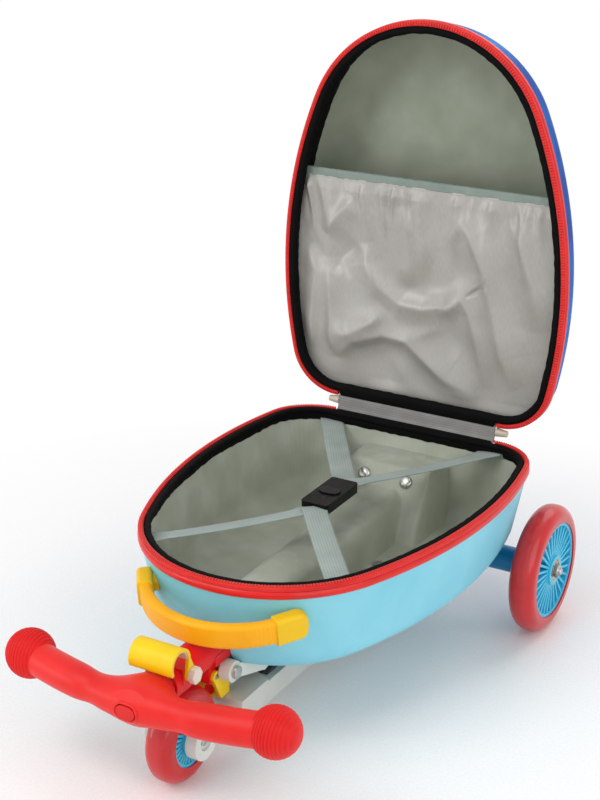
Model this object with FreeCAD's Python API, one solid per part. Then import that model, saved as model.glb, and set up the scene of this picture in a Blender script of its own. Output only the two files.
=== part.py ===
import FreeCAD, Part
import math
import os

V = FreeCAD.Vector
HEXAGON_SIDES = 6

# Case outline seen from above: a round tip, long side arcs, round corners and a flat hinge end.
case_length = 372.0
case_width = 292.0
widest_share = 0.35
tip_radius_share = 0.418
corner_radius_share = 0.171
widest_from_end = case_length * widest_share
tip_radius = case_width * tip_radius_share
corner_radius = case_width * corner_radius_share

# Shared rim build of both halves, measured from the zip line.
rim_band = 13.0
rim_proud = 2.5
zip_height = 5.0
zip_inset = 0.5
piping_round = 3.4
shell_wall = 3.0
lining_gap = 0.3
lining_thickness = 1.5
binding_top = 2.0
base_binding_depth = 14.0
lid_binding_depth = 25.0
binding_thickness = 2.0

# Base half of the case.
base_depth = 89.0
base_draft = 15.0
base_edge_radius = 26.0

# Lid half of the case and its fabric hinge.
zip_gap = 0.4
lid_depth = 60.0
lid_draft = 6.0
lid_edge_radius = 34.0
hinge_stand_off = 5.0
hinge_rise = 5.0
hinge_roll_radius = 4.7
hinge_flap_thickness = 1.2
hinge_half_length = 84.0
lid_open_angle = 90.0

# Zip sliders parked at the two zip ends.
slider_length = 11.0
slider_radius = 4.3
slider_tip_radius = 3.0

# Pocket sewn into the lid.
pocket_height = 216.0
pocket_depth = 13.0
pocket_thickness = 2.0
pocket_fold_rise = 2.4
pocket_fold_count = 7
hem_height = 7.0
hem_thickness = 4.0

# Recess under the case for the frame: a tunnel for the stem and a hump for the frame block.
tunnel_half_width = 15.0
tunnel_over_stem = 15.0
tunnel_round = 9.0
hump_half_width = 36.0
hump_under_rim = 32.0
hump_flat_length = 45.0
hump_foot_length = 85.0
frame_clearance = 0.5

# Crossed elastic straps with a centre buckle.
strap_width = 22.0
strap_thickness = 1.2
strap_layer_gap = 0.5
strap_drop = 13.0
strap_end_spread = 88.0
strap_end_setback = 5.0
strap_tip_spread = 84.0
strap_tip_setback = 68.0
buckle_share = 0.449
buckle_length = 58.0
buckle_width = 27.0
buckle_height = 9.0
buckle_round = 3.0
buckle_push_length = 20.0
buckle_push_width = 13.0
buckle_push_proud = 1.5
buckle_push_travel = 2.0
buckle_push_depth = 4.5
buckle_push_fit = 0.35

# Dome screws that hold the lining and shell to the frame.
screw_head_radius = 6.0
screw_head_height = 2.6
screw_spread = 22.0
hump_screw_rise = 38.0
floor_screw_from_end = 140.0
floor_screw_spread = 36.0

# Carry handle on the tip, placed past the tip and over the stem.
handle_cap_spread = 66.0
handle_cap_past_tip = -14.0
handle_cap_over_stem = 31.0
handle_mid_past_tip = 20.0
handle_mid_over_stem = 27.0
grip_thickness = 10.0
grip_height = 21.0
grip_round = 3.5
cap_length = 20.0
cap_extra = 1.6
cap_round = 4.0
cap_foot_radius = 8.5
cap_foot_length = 34.0
cap_seat_gap = 0.2

# Big front wheels and their axle.
wheel_radius = 60.0
wheel_width = 25.0
wheel_stand_out = 7.0
axle_from_end = 33.0
tyre_round = 11.0
hub_radius = 45.0
hub_rim = 3.0
hub_rim_width = 22.0
hub_web = 4.0
hub_boss_radius = 14.0
hub_rib_count = 30
hub_rib_thickness = 2.2
hub_rib_width = 20.0
bearing_radius = 11.0
bearing_width = 7.0
axle_radius = 4.0
axle_arm_radius = 12.0
axle_arm_gap = 0.6
axle_case_gap = 2.0
nut_radius = 5.6
nut_length = 5.6
nut_seat_gap = 0.4

# Small rear wheel on the folding deck.
rear_radius = 40.0
rear_width = 24.0
rear_past_tip = 36.0
rear_tyre_round = 10.5
rear_hub_radius = 25.0
rear_hub_rim = 2.5
rear_hub_rim_width = 21.0
rear_boss_radius = 13.0
rear_bearing_radius = 9.5

# Fits.
running_fit = 0.05
slip_fit = 0.3

# Frame block at the hinge end and deck pivot, with heights below the case floor.
block_drop = 24.0
block_end_gap = 1.0
block_foot_gap = 2.0
pivot_from_end = 8.0
pivot_drop = 38.0
pivot_radius = 4.0
pivot_eye_radius = 9.0
cheek_inner = 24.4
cheek_eye_radius = 10.0
pin_head_radius = 6.5
pin_head_length = 3.0

# Deck: channel beam, tread, knuckle, fork. The beam's top is below the case floor.
beam_half_width = 28.0
beam_wall = 3.5
beam_drop = 24.0
beam_height = 20.0
beam_start_from_end = 72.0
beam_stop_past_tip = -11.0
tread_thickness = 2.0
tread_margin = 6.0
tread_rib_count = 20
tread_rib_height = 0.8
land_length = 48.0
land_thickness = 2.0
land_round_share = 2.1
land_gap = 1.0
rivet_radius = 5.5
rivet_height = 1.4
rivet_from_stop = 21.0
knuckle_under_pivot = 7.0
knuckle_over_pivot = 9.0
knuckle_stop_from_end = 125.0
deck_fit = 0.5
fork_block_length = 30.0
fork_arm_inner = 14.0
fork_arm_thickness = 10.0
fork_arm_height = 15.0
fork_boss_radius = 16.0
fork_recess_radius = 8.0
fork_recess_depth = 3.0
fork_clear = 2.0

# Telescopic stem and its red head. Stops and heads are placed past the case's tip.
stem_over_floor = 24.0
outer_tube_radius = 12.5
inner_tube_radius = 10.5
inner_tube_wall = 2.0
outer_tube_start = 40.0
outer_tube_stop = 64.0
inner_tube_start = 75.0
inner_tube_stop = 78.0
sleeve_radius = 14.0
sleeve_start = -20.0
sleeve_stop = 39.0
column_half_width = 8.0
column_start = -20.0
column_stop = 6.0
column_under_stem = 27.0
head_wing_half_width = 14.6
head_wing_height = 9.0

# Grey head brackets and their through bolt.
bracket_bolt_past_tip = -10.0
bracket_bolt_under_stem = 19.0
bracket_bolt_radius = 3.0
bracket_boss_radius = 9.0
bracket_boss_inner = 12.0
bracket_boss_outer = 22.0
bracket_spacer_radius = 4.0
bracket_arm_inner = 16.5
bracket_arm_outer = 21.5
bracket_arm_past_tip = -58.0
bracket_arm_drop = 11.0
bracket_arm_half_height = 6.5
bracket_pad_length = 18.0
bolt_head_radius = 5.5
bolt_head_length = 3.5

# Fold latch under the head.
latch_pin_past_tip = 0.0
latch_pin_under_stem = 22.0
latch_pin_radius = 2.5
latch_eye_radius = 5.0
latch_arm_thickness = 3.0
latch_web_past_tip = -6.0
latch_web_length = 12.0
latch_web_low_gap = 0.3
latch_web_height = 11.0
latch_button_radius = 4.5
latch_button_proud = 1.0

# Quick release clamp on the stem with its cam lever.
clamp_start = 40.5
clamp_stop = 62.0
clamp_radius = 16.0
clamp_ear_half_length = 7.0
clamp_ear_outer = 16.8
clamp_ear_rise = 14.0
cam_past_tip = 48.0
cam_over_stem = 8.0
cam_stub_radius = 3.0
cam_eye_radius = 6.0
lever_arm_thickness = 3.0
lever_loop_past_tip = 62.0
lever_loop_over_stem = 23.0
lever_loop_radius = 13.0
lever_wall = 2.6
lever_sweep = 205.0
lever_pad_thickness = 1.2
lever_pad_margin = 1.0
clamp_nut_radius = 7.0
clamp_nut_length = 5.0

# Handlebar, ball grips and push button.
bar_past_tip = 93.0
bar_radius = 14.0
ball_spread = 113.0
ball_past_tip = 78.0
ball_over_stem = 3.0
ball_radius = 20.4
ball_groove = 1.2
ball_rib_count = 9
ball_rib_pitch = 3.6
ball_rib_width = 2.2
ball_socket = 9.0
neck_radius = 13.0
neck_start = 65.0
tube_socket_stop = 79.0
button_length = 17.0
button_width = 11.0
button_proud = 2.0
button_depth = 9.0
button_travel = 3.5
button_fit = 0.35
button_stem_radius = 1.8
button_stem_length = 8.0
button_spring_inner = 2.2
button_spring_outer = 3.0
button_spring_length = 8.0

# Overrun of every cut.
over = 2.0

# The origin is on the floor under the middle of the whole part's box.
front_reach = case_length + bar_past_tip + bar_radius + button_proud
back_reach = hinge_stand_off + zip_gap - hinge_rise + lid_depth
end_y = (front_reach - back_reach) / 2.0

# Heights follow from the big wheels up: axle, case floor, stem, rim.
wheel_spread = case_width / 2.0 + wheel_stand_out
case_floor = wheel_radius + axle_arm_radius + axle_case_gap
rim_height = case_floor + base_depth
stem_height = case_floor + stem_over_floor
tunnel_roof = stem_height + tunnel_over_stem
hump_top = rim_height - hump_under_rim
lid_plane = rim_height + zip_gap
hinge_y = end_y + hinge_stand_off
hinge_z = rim_height + hinge_rise
block_low = case_floor - block_drop
block_half_width = hump_half_width - frame_clearance
pivot_height = case_floor - pivot_drop
beam_top = case_floor - beam_drop
beam_low = beam_top - beam_height
bracket_bolt_height = stem_height - bracket_bolt_under_stem
bracket_arm_height = case_floor - bracket_arm_drop
latch_pin_height = stem_height - latch_pin_under_stem
cam_height = stem_height + cam_over_stem
lever_loop_height = stem_height + lever_loop_over_stem
X_AXIS = V(1, 0, 0)
Y_AXIS = V(0, 1, 0)
Z_AXIS = V(0, 0, 1)


def from_end(distance):
    return end_y - distance


def past_tip(distance):
    return from_end(case_length + distance)


def save(shape, node):
    shape.exportStep("parts/" + node + ".step")


def box(x0, x1, y0, y1, z0, z1):
    return Part.makeBox(x1 - x0, y1 - y0, z1 - z0, V(x0, y0, z0))


def rod_x(x0, x1, y, z, radius):
    return Part.makeCylinder(radius, x1 - x0, V(x0, y, z), X_AXIS)


def rod_y(y0, y1, x, z, radius):
    return Part.makeCylinder(radius, y1 - y0, V(x, y0, z), Y_AXIS)


def mirrored(shape):
    return shape.mirror(V(0, 0, 0), X_AXIS)


def group(solids):
    return Part.makeCompound(solids)


def arc(a, b, c):
    return Part.Arc(a, b, c).toShape()


def point_on(centre_x, centre_y, radius, toward_x, toward_y, z):
    length = math.hypot(toward_x, toward_y)
    return V(centre_x + radius * toward_x / length, centre_y + radius * toward_y / length, z)


def outline(inset, z):
    # Tangent arcs that all keep their centres, so that every inset is parallel to the full outline.
    half = case_width / 2.0
    widest_y = from_end(widest_from_end)
    tip_y = from_end(case_length) + tip_radius
    reach = widest_y - tip_y
    side_radius = (half ** 2 + reach ** 2 - tip_radius ** 2) / (2.0 * (half - tip_radius))
    side_x = half - side_radius
    corner_y = from_end(corner_radius)
    corner_x = side_x + math.sqrt((side_radius - corner_radius) ** 2 - (corner_y - widest_y) ** 2)
    tip = tip_radius - inset
    side = side_radius - inset
    corner = corner_radius - inset
    side_at_tip = point_on(0, tip_y, tip, -side_x, tip_y - widest_y, z)
    side_mid = V(side_x + side, widest_y, z)
    corner_from = point_on(corner_x, corner_y, corner, corner_x - side_x, corner_y - widest_y, z)
    end_angle = math.atan2(corner_y - widest_y, corner_x - side_x)
    half_turn = (end_angle + math.pi / 2.0) / 2.0
    corner_mid = V(corner_x + corner * math.cos(half_turn), corner_y + corner * math.sin(half_turn), z)
    corner_to = V(corner_x, corner_y + corner, z)

    def left(p):
        return V(-p.x, p.y, p.z)

    edges = [
        arc(left(side_at_tip), V(0, tip_y - tip, z), side_at_tip),
        arc(side_at_tip, side_mid, corner_from),
        arc(corner_from, corner_mid, corner_to),
        Part.makeLine(corner_to, left(corner_to)),
        arc(left(corner_to), left(corner_mid), left(corner_from)),
        arc(left(corner_from), left(side_mid), left(side_at_tip)),
    ]
    return Part.Wire(edges)


class Half:
    # One half of the case: its zip plane, the way that it deepens, its depth, draft and edge round.
    def __init__(self, plane, away, depth, draft, edge_radius, binding_depth):
        self.plane = plane
        self.binding_depth = binding_depth
        self.away = away
        self.depth = depth
        self.slope = draft / (depth - rim_band)
        self.edge_radius = edge_radius

    def level(self, depth):
        return self.plane + self.away * depth

    def tub(self, inward):
        depth = self.depth - inward
        inset = rim_proud + inward
        floor_inset = inset + self.slope * (depth - rim_band)
        floor_z = self.level(depth)
        wires = [
            outline(inset, self.level(-over)),
            outline(inset, self.level(rim_band)),
            outline(floor_inset, floor_z),
        ]
        solid = Part.makeLoft(wires, True, True)
        rim = [e for e in solid.Edges if abs(e.BoundBox.ZMin - floor_z) < slip_fit
               and abs(e.BoundBox.ZMax - floor_z) < slip_fit]
        return solid.makeFillet(self.edge_radius - inward, rim)

    def slab(self, near, far):
        low, high = sorted((self.level(near), self.level(far)))
        return box(-case_width, case_width, from_end(2 * case_length), from_end(-case_length), low, high)

    def ring(self, outer, inner, near, far):
        low, high = sorted((self.level(near), self.level(far)))
        outside = Part.Face(outline(outer, low)).extrude(V(0, 0, high - low))
        inside = Part.Face(outline(inner, low - over)).extrude(V(0, 0, high - low + 2 * over))
        return outside.cut(inside)

    def piping(self):
        ring = self.ring(0, rim_proud + shell_wall, zip_height, rim_band)
        flat = [e for e in ring.Edges if abs(e.BoundBox.ZMax - e.BoundBox.ZMin) < slip_fit]
        rims = [e for e in flat if self.on_outline(e)]
        return ring.makeFillet(piping_round, rims)

    def on_outline(self, edge):
        # True for the edges of the outer outline, which lie furthest from the case's middle.
        mid = edge.valueAt((edge.FirstParameter + edge.LastParameter) / 2.0)
        wire = outline(0, mid.z)
        return wire.distToShape(Part.Vertex(mid))[0] < slip_fit

    def zip_tape(self):
        # The zip runs round from slider to slider; the cloth hinge takes its place between them.
        ring = self.ring(zip_inset, rim_proud + shell_wall, 0, zip_height)
        return ring.cut(box(-hinge_half_length, hinge_half_length, end_y - rim_band, end_y + over,
                            self.plane - rim_band, self.plane + rim_band))


base = Half(rim_height, -1, base_depth, base_draft, base_edge_radius, base_binding_depth)
lid = Half(lid_plane, 1, lid_depth, lid_draft, lid_edge_radius, lid_binding_depth)


def opened(shape):
    turned = shape.copy()
    turned.rotate(V(0, hinge_y, hinge_z), X_AXIS, -lid_open_angle)
    return turned


def hump_profile(grow, low, back_y, half_width):
    # The hump's side view: flat top, sloping front towards the tip.
    run = hump_foot_length - hump_flat_length
    rise = hump_top - case_floor
    shift = grow * math.hypot(run, rise) / rise
    top = hump_top + grow
    flat_y = from_end(hump_flat_length) - shift + grow * run / rise
    low_y = from_end(hump_foot_length) - shift - (case_floor - low) * run / rise
    points = [V(0, back_y, low), V(0, back_y, top), V(0, flat_y, top), V(0, low_y, low)]
    face = Part.Face(Part.makePolygon(points + points[:1]))
    solid = face.extrude(V(2 * half_width, 0, 0))
    solid.translate(V(-half_width, 0, 0))
    return solid


def recess(grow):
    half_width = tunnel_half_width + grow
    tunnel = box(-half_width, half_width, from_end(case_length + over), from_end(-over),
                 case_floor - over, tunnel_roof + grow)
    top_edges = [e for e in tunnel.Edges if e.BoundBox.ZMin > tunnel_roof - tunnel_round
                 and e.BoundBox.YMax - e.BoundBox.YMin > case_length]
    tunnel = tunnel.makeFillet(tunnel_round + grow, top_edges)
    hump = hump_profile(grow, case_floor - over, from_end(-over), hump_half_width + grow)
    return tunnel.fuse(hump)


def layer(half, near_inward, far_inward, with_recess):
    outside = half.tub(near_inward)
    inside = half.tub(far_inward)
    if with_recess:
        outside = outside.cut(recess(near_inward))
        inside = inside.cut(recess(far_inward))
    return outside.cut(inside)


def case_half(half, name, with_recess):
    lining_from = shell_wall + lining_gap
    lining_to = lining_from + lining_thickness
    shell = layer(half, 0, shell_wall, with_recess).cut(half.slab(-2 * over, rim_band))
    lining = layer(half, lining_from, lining_to, with_recess)
    lining = lining.cut(half.slab(-2 * over, half.binding_depth))
    band = layer(half, lining_from, lining_from + binding_thickness, False)
    band = band.common(half.slab(binding_top, half.binding_depth))
    return {
        name + "_shell": shell,
        name + "_lining": lining,
        name + "_binding": band,
        name + "_piping": half.piping(),
        name + "_zip": half.zip_tape(),
    }


def strap_leg(side, end_x, end_from_end, buckle_end, layer_low):
    # One flat leg from the buckle to the rim, cut square to the buckle and cut by the binding.
    reach = V(side * end_x, from_end(end_from_end) - buckle_end, 0)
    along = V(reach).normalize()
    across = V(-along.y, along.x, 0).multiply(strap_width / 2.0)
    corners = []
    for sign in (-1, 1):
        offset = V(across).multiply(sign)
        start = offset - V(along).multiply(offset.y / along.y)
        stop = reach + V(along).multiply(strap_width) + offset
        corners.append((start, stop))
    points = [corners[0][0], corners[0][1], corners[1][1], corners[1][0]]
    points = [V(p.x, p.y + buckle_end, layer_low) for p in points]
    face = Part.Face(Part.makePolygon(points + points[:1]))
    leg = face.extrude(V(0, 0, strap_thickness))
    inner = rim_proud + shell_wall + lining_gap + binding_thickness + slip_fit
    room = Part.Face(outline(inner, layer_low - over)).extrude(V(0, 0, strap_thickness + 2 * over))
    return leg.common(room)


def oval(length, width, height, base_point, toward):
    # A stadium-shaped bar: two rods and the plate between them, along the direction toward.
    radius = width / 2.0
    half = length / 2.0 - radius
    solids = []
    for side in (-1, 1):
        solids.append(Part.makeCylinder(radius, height, base_point + V(side * half, 0, 0), toward))
    normal = V(toward).cross(X_AXIS)
    plate = Part.makePolygon([
        base_point + V(-half, 0, 0) + V(normal).multiply(radius),
        base_point + V(half, 0, 0) + V(normal).multiply(radius),
        base_point + V(half, 0, 0) - V(normal).multiply(radius),
        base_point + V(-half, 0, 0) - V(normal).multiply(radius),
        base_point + V(-half, 0, 0) + V(normal).multiply(radius),
    ])
    bar = Part.Face(plate).extrude(V(toward).multiply(height))
    return bar.multiFuse(solids).removeSplitter()


def straps_and_buckle():
    mid_y = from_end(case_length * buckle_share)
    low = rim_height - strap_drop
    ends = {"back": mid_y + buckle_length / 2.0 + slip_fit, "front": mid_y - buckle_length / 2.0 - slip_fit}
    places = {
        "back": (strap_end_spread, strap_end_setback),
        "front": (strap_tip_spread, case_length - strap_tip_setback),
    }
    for end, buckle_end in ends.items():
        spread, setback = places[end]
        for side, name, step in ((-1, "left", 0), (1, "right", 1)):
            layer_low = low + step * (strap_thickness + strap_layer_gap)
            save(strap_leg(side, spread, setback, buckle_end, layer_low), "strap_" + end + "_" + name)
    body_low = low + strap_thickness - buckle_height / 2.0
    body = box(-buckle_width / 2.0, buckle_width / 2.0, mid_y - buckle_length / 2.0,
               mid_y + buckle_length / 2.0, body_low, body_low + buckle_height)
    body = body.makeFillet(buckle_round, [e for e in body.Edges if e.BoundBox.ZLength > buckle_height / 2.0])
    top = body_low + buckle_height
    push_room = oval(buckle_push_length + 2 * buckle_push_fit, buckle_push_width + 2 * buckle_push_fit,
                     buckle_push_depth + over, V(0, mid_y, top - buckle_push_depth), Z_AXIS)
    save(body.cut(push_room), "strap_buckle")
    push_low = top - buckle_push_depth + buckle_push_travel + slip_fit
    push = oval(buckle_push_length, buckle_push_width, top + buckle_push_proud - push_low,
                V(0, mid_y, push_low), Z_AXIS)
    save(push, "buckle_button")


def dome_screw(seat, toward):
    ball_radius_of_dome = (screw_head_radius ** 2 + screw_head_height ** 2) / (2.0 * screw_head_height)
    sink = ball_radius_of_dome - screw_head_height
    centre = seat - V(toward).multiply(sink)
    ball = Part.makeSphere(ball_radius_of_dome, centre)
    keep = Part.makeCylinder(screw_head_radius + over, screw_head_height + over, seat, toward)
    return ball.common(keep)


def lining_screws():
    run = hump_foot_length - hump_flat_length
    rise = hump_top - case_floor
    slope_normal = V(0, -rise, run).normalize()
    skin = shell_wall + lining_gap + lining_thickness
    solids = []
    for side in (-1, 1):
        back = (hump_screw_rise) * run / rise
        on_slope = V(side * screw_spread, from_end(hump_foot_length) + back, case_floor + hump_screw_rise)
        solids.append(dome_screw(on_slope + V(slope_normal).multiply(skin), slope_normal))
        on_floor = V(side * floor_screw_spread, from_end(floor_screw_from_end), case_floor + skin)
        solids.append(dome_screw(on_floor, Z_AXIS))
    save(group(solids), "lining_screws")


class Bow:
    # A circular arc that is symmetric about x = 0: its ends, its middle, its centre and its axis.
    def __init__(self, half_span, ends, middle):
        lift = middle - ends
        rise = lift.Length
        self.outward = V(lift).normalize()
        self.radius = (half_span ** 2 + rise ** 2) / (2.0 * rise)
        self.middle = middle
        self.centre = middle - V(self.outward).multiply(self.radius)
        self.axis = X_AXIS.cross(self.outward)
        self.half_angle = math.degrees(math.atan2(half_span, self.radius - rise))

    def at_end(self, shape, side, more=0.0):
        turned = shape.copy()
        turned.rotate(self.centre, self.axis, -side * (self.half_angle + more))
        return turned

    def sweep(self, face, half_angle):
        start = face.copy()
        start.rotate(self.centre, self.axis, -half_angle)
        return start.revolve(self.centre, self.axis, 2.0 * half_angle)

    def degrees_of(self, length):
        return math.degrees(length / self.radius)


def rounded_bar(bow, thickness, height, corner, length):
    # A bar with rounded corners across the bow's middle, along x.
    bar = Part.makeBox(length, thickness, height, V(0, -thickness / 2.0, -height / 2.0))
    bar = bar.makeFillet(corner, [e for e in bar.Edges if e.BoundBox.XLength > length / 2.0])
    matrix = FreeCAD.Matrix(1, 0, 0, bow.middle.x,
                            0, bow.outward.y, bow.axis.y, bow.middle.y,
                            0, bow.outward.z, bow.axis.z, bow.middle.z,
                            0, 0, 0, 1)
    return bar.transformGeometry(matrix)


def end_face(solid, x):
    flat = [f for f in solid.Faces if f.BoundBox.XLength < slip_fit]
    return [f for f in flat if abs(f.CenterOfMass.x - x) < slip_fit][0]


def carry_handle():
    ends = V(0, past_tip(handle_cap_past_tip), stem_height + handle_cap_over_stem)
    middle = V(0, past_tip(handle_mid_past_tip), stem_height + handle_mid_over_stem)
    bow = Bow(handle_cap_spread, ends, middle)
    section = end_face(rounded_bar(bow, grip_thickness, grip_height, grip_round, cap_length), 0)
    grip = bow.sweep(section, bow.half_angle)
    save(grip, "carry_handle_grip")
    shell_skin = base.tub(-cap_seat_gap)
    piping_room = base.ring(-cap_seat_gap, rim_proud + shell_wall, 0, rim_band + cap_seat_gap)
    caps = []
    for side in (-1, 1):
        block = rounded_bar(bow, grip_thickness + 2 * cap_extra, grip_height + 2 * cap_extra, cap_round,
                            cap_length)
        if side < 0:
            block = mirrored(block)
        block = bow.at_end(block, side)
        foot = Part.makeCylinder(cap_foot_radius, cap_foot_length, bow.middle, V(bow.outward).negative())
        foot.translate(X_AXIS * (side * cap_length / 2.0))
        foot = bow.at_end(foot, side)
        cap = block.fuse(foot).cut(shell_skin).cut(piping_room).cut(grip)
        largest = max(cap.Solids, key=lambda solid: solid.Volume)
        caps.append(largest)
    save(group(caps), "carry_handle_caps")


def fabric_hinge():
    roll = rod_x(-hinge_half_length, hinge_half_length, hinge_y, hinge_z, hinge_roll_radius)
    flap_front = end_y + lining_gap
    flap = box(-hinge_half_length, hinge_half_length, flap_front, flap_front + hinge_flap_thickness,
               rim_height - rim_band, hinge_z)
    save(roll.fuse(flap), "hinge_strip")
    sliders = []
    for side in (-1, 1):
        start = V(side * (hinge_half_length + slip_fit), hinge_y, hinge_z)
        toward = V(side, 0, 0)
        sliders.append(Part.makeCone(slider_radius, slider_tip_radius, slider_length, start, toward))
    save(group(sliders), "zip_sliders")


def lid_pocket():
    skin = shell_wall + lining_gap + lining_thickness + lining_gap
    skin = max(skin, shell_wall + lining_gap + binding_thickness + lining_gap)
    room = lid.tub(skin)
    top_y = from_end(pocket_height)
    wide = box(-case_width, case_width, top_y, from_end(-over), lid.level(pocket_depth),
               lid.level(pocket_depth + pocket_thickness))
    sheet = room.common(wide)
    pitch = case_width / (pocket_fold_count + 2.0)
    folds = []
    for index in range(pocket_fold_count):
        x = (index - (pocket_fold_count - 1) / 2.0) * pitch
        fold = rod_y(top_y, top_y + pocket_height / 2.0, x, lid.level(pocket_depth + pocket_thickness),
                     pocket_thickness + pocket_fold_rise)
        fold = fold.common(room)
        fold = fold.common(lid.slab(pocket_depth - pocket_fold_rise, pocket_depth + pocket_thickness))
        folds.append(fold)
    sheet = sheet.multiFuse(folds)
    save(opened(sheet), "lid_pocket")
    mid = pocket_depth + pocket_thickness / 2.0
    hem = box(-case_width, case_width, top_y - hem_height, top_y, lid.level(mid - hem_thickness / 2.0),
              lid.level(mid + hem_thickness / 2.0))
    save(opened(room.common(hem)), "pocket_hem")


def case():
    for node, shape in case_half(base, "base", True).items():
        save(shape, node)
    for node, shape in case_half(lid, "lid", False).items():
        save(opened(shape), node)
    straps_and_buckle()
    lining_screws()
    carry_handle()
    fabric_hinge()
    lid_pocket()


def tyre(x, y, z, radius, width, edge_round, seat_radius):
    solid = rod_x(x - width / 2.0, x + width / 2.0, y, z, radius)
    solid = solid.makeFillet(edge_round, [e for e in solid.Edges if e.BoundBox.YLength > radius])
    return solid.cut(rod_x(x - width, x + width, y, z, seat_radius + running_fit))


def hub(x, y, z, radius, rim, rim_width, boss_radius, boss_width, seat_radius, rib_width):
    rim_ring = rod_x(x - rim_width / 2.0, x + rim_width / 2.0, y, z, radius)
    rim_ring = rim_ring.cut(rod_x(x - rim_width, x + rim_width, y, z, radius - rim))
    boss = rod_x(x - boss_width / 2.0, x + boss_width / 2.0, y, z, boss_radius)
    web = rod_x(x - hub_web / 2.0, x + hub_web / 2.0, y, z, radius - rim / 2.0)
    pieces = [boss, web]
    for index in range(hub_rib_count):
        rib = box(x - rib_width / 2.0, x + rib_width / 2.0, y - hub_rib_thickness / 2.0,
                  y + hub_rib_thickness / 2.0, z + boss_radius - rim / 2.0, z + radius - rim / 2.0)
        rib.rotate(V(x, y, z), X_AXIS, index * 360.0 / hub_rib_count)
        pieces.append(rib)
    solid = rim_ring.multiFuse(pieces)
    inner = boss_width / 2.0 - bearing_width
    for side in (-1, 1):
        low, high = sorted((x + side * inner, x + side * (boss_width / 2.0 + over)))
        solid = solid.cut(rod_x(low, high, y, z, seat_radius + running_fit))
    return solid.cut(rod_x(x - boss_width, x + boss_width, y, z, axle_radius + slip_fit))


def bearings(x, y, z, radius, boss_width):
    solids = []
    for side in (-1, 1):
        low, high = sorted((x + side * (boss_width / 2.0 - bearing_width), x + side * boss_width / 2.0))
        ring = rod_x(low, high, y, z, radius)
        solids.append(ring.cut(rod_x(low - over, high + over, y, z, axle_radius + running_fit)))
    return group(solids)


def hexagon_bar(x, y, z, reach, length):
    corners = []
    for index in range(HEXAGON_SIDES + 1):
        turn = index * 2.0 * math.pi / HEXAGON_SIDES
        corners.append(V(x, y + reach * math.cos(turn), z + reach * math.sin(turn)))
    return Part.Face(Part.makePolygon(corners)).extrude(V(length, 0, 0))


def dome_nut(x, y, z, toward):
    corner = nut_radius / math.cos(math.pi / HEXAGON_SIDES)
    hexagon = hexagon_bar(x, y, z, corner, toward * nut_length / 2.0)
    cap_start = V(x + toward * nut_length / 2.0, y, z)
    cap = Part.makeCone(nut_radius, nut_radius / 2.0, nut_length / 2.0, cap_start, V(toward, 0, 0))
    solid = hexagon.fuse(cap)
    low, high = sorted((x - toward * over, x + toward * nut_length / 2.0))
    return solid.cut(rod_x(low, high, y, z, axle_radius + running_fit))


def front_wheels():
    y = from_end(axle_from_end)
    z = wheel_radius
    for side, name in ((-1, "left"), (1, "right")):
        x = side * wheel_spread
        save(tyre(x, y, z, wheel_radius, wheel_width, tyre_round, hub_radius), "front_tyre_" + name)
        save(hub(x, y, z, hub_radius, hub_rim, hub_rim_width, hub_boss_radius, wheel_width, bearing_radius,
                 hub_rib_width), "front_hub_" + name)
        save(bearings(x, y, z, bearing_radius, wheel_width), "front_bearings_" + name)
    shaft_half = wheel_spread + wheel_width / 2.0 + nut_seat_gap + nut_length / 2.0
    save(rod_x(-shaft_half, shaft_half, y, z, axle_radius), "axle_shaft")
    arm_out = wheel_spread - wheel_width / 2.0 - axle_arm_gap
    arms = []
    for side in (-1, 1):
        low, high = sorted((side * block_half_width, side * arm_out))
        arm = rod_x(low, high, y, z, axle_arm_radius)
        arms.append(arm.cut(rod_x(low - over, high + over, y, z, axle_radius + running_fit)))
    save(group(arms), "axle_arms")
    nut_x = wheel_spread + wheel_width / 2.0 + nut_seat_gap
    save(group([dome_nut(side * nut_x, y, z, side) for side in (-1, 1)]), "axle_nuts")


def frame_block():
    back_y = end_y - block_end_gap
    block = hump_profile(-frame_clearance, case_floor, back_y, block_half_width)
    foot_y = from_end(beam_start_from_end) + block_foot_gap
    block = block.fuse(box(-block_half_width, block_half_width, foot_y, back_y, block_low, case_floor))
    pivot_y = from_end(pivot_from_end)
    for side in (-1, 1):
        low, high = sorted((side * cheek_inner, side * block_half_width))
        eye = rod_x(low, high, pivot_y, pivot_height, cheek_eye_radius)
        web = box(low, high, pivot_y - cheek_eye_radius, back_y, pivot_height, block_low + over)
        block = block.fuse(eye.fuse(web))
    axle_y = from_end(axle_from_end)
    wide = 2 * block_half_width
    block = block.cut(rod_x(-wide, wide, axle_y, wheel_radius, axle_radius + running_fit))
    block = block.cut(rod_x(-wide, wide, pivot_y, pivot_height, pivot_radius + running_fit))
    tube_room = rod_y(from_end(case_length), from_end(outer_tube_start), 0, stem_height,
                      outer_tube_radius + running_fit)
    save(block.cut(tube_room), "frame_block")
    pin = rod_x(-block_half_width, block_half_width, pivot_y, pivot_height, pivot_radius)
    for side in (-1, 1):
        low, high = sorted((side * block_half_width, side * (block_half_width + pin_head_length)))
        pin = pin.fuse(rod_x(low, high, pivot_y, pivot_height, pin_head_radius))
    save(pin, "fold_pin")


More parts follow.
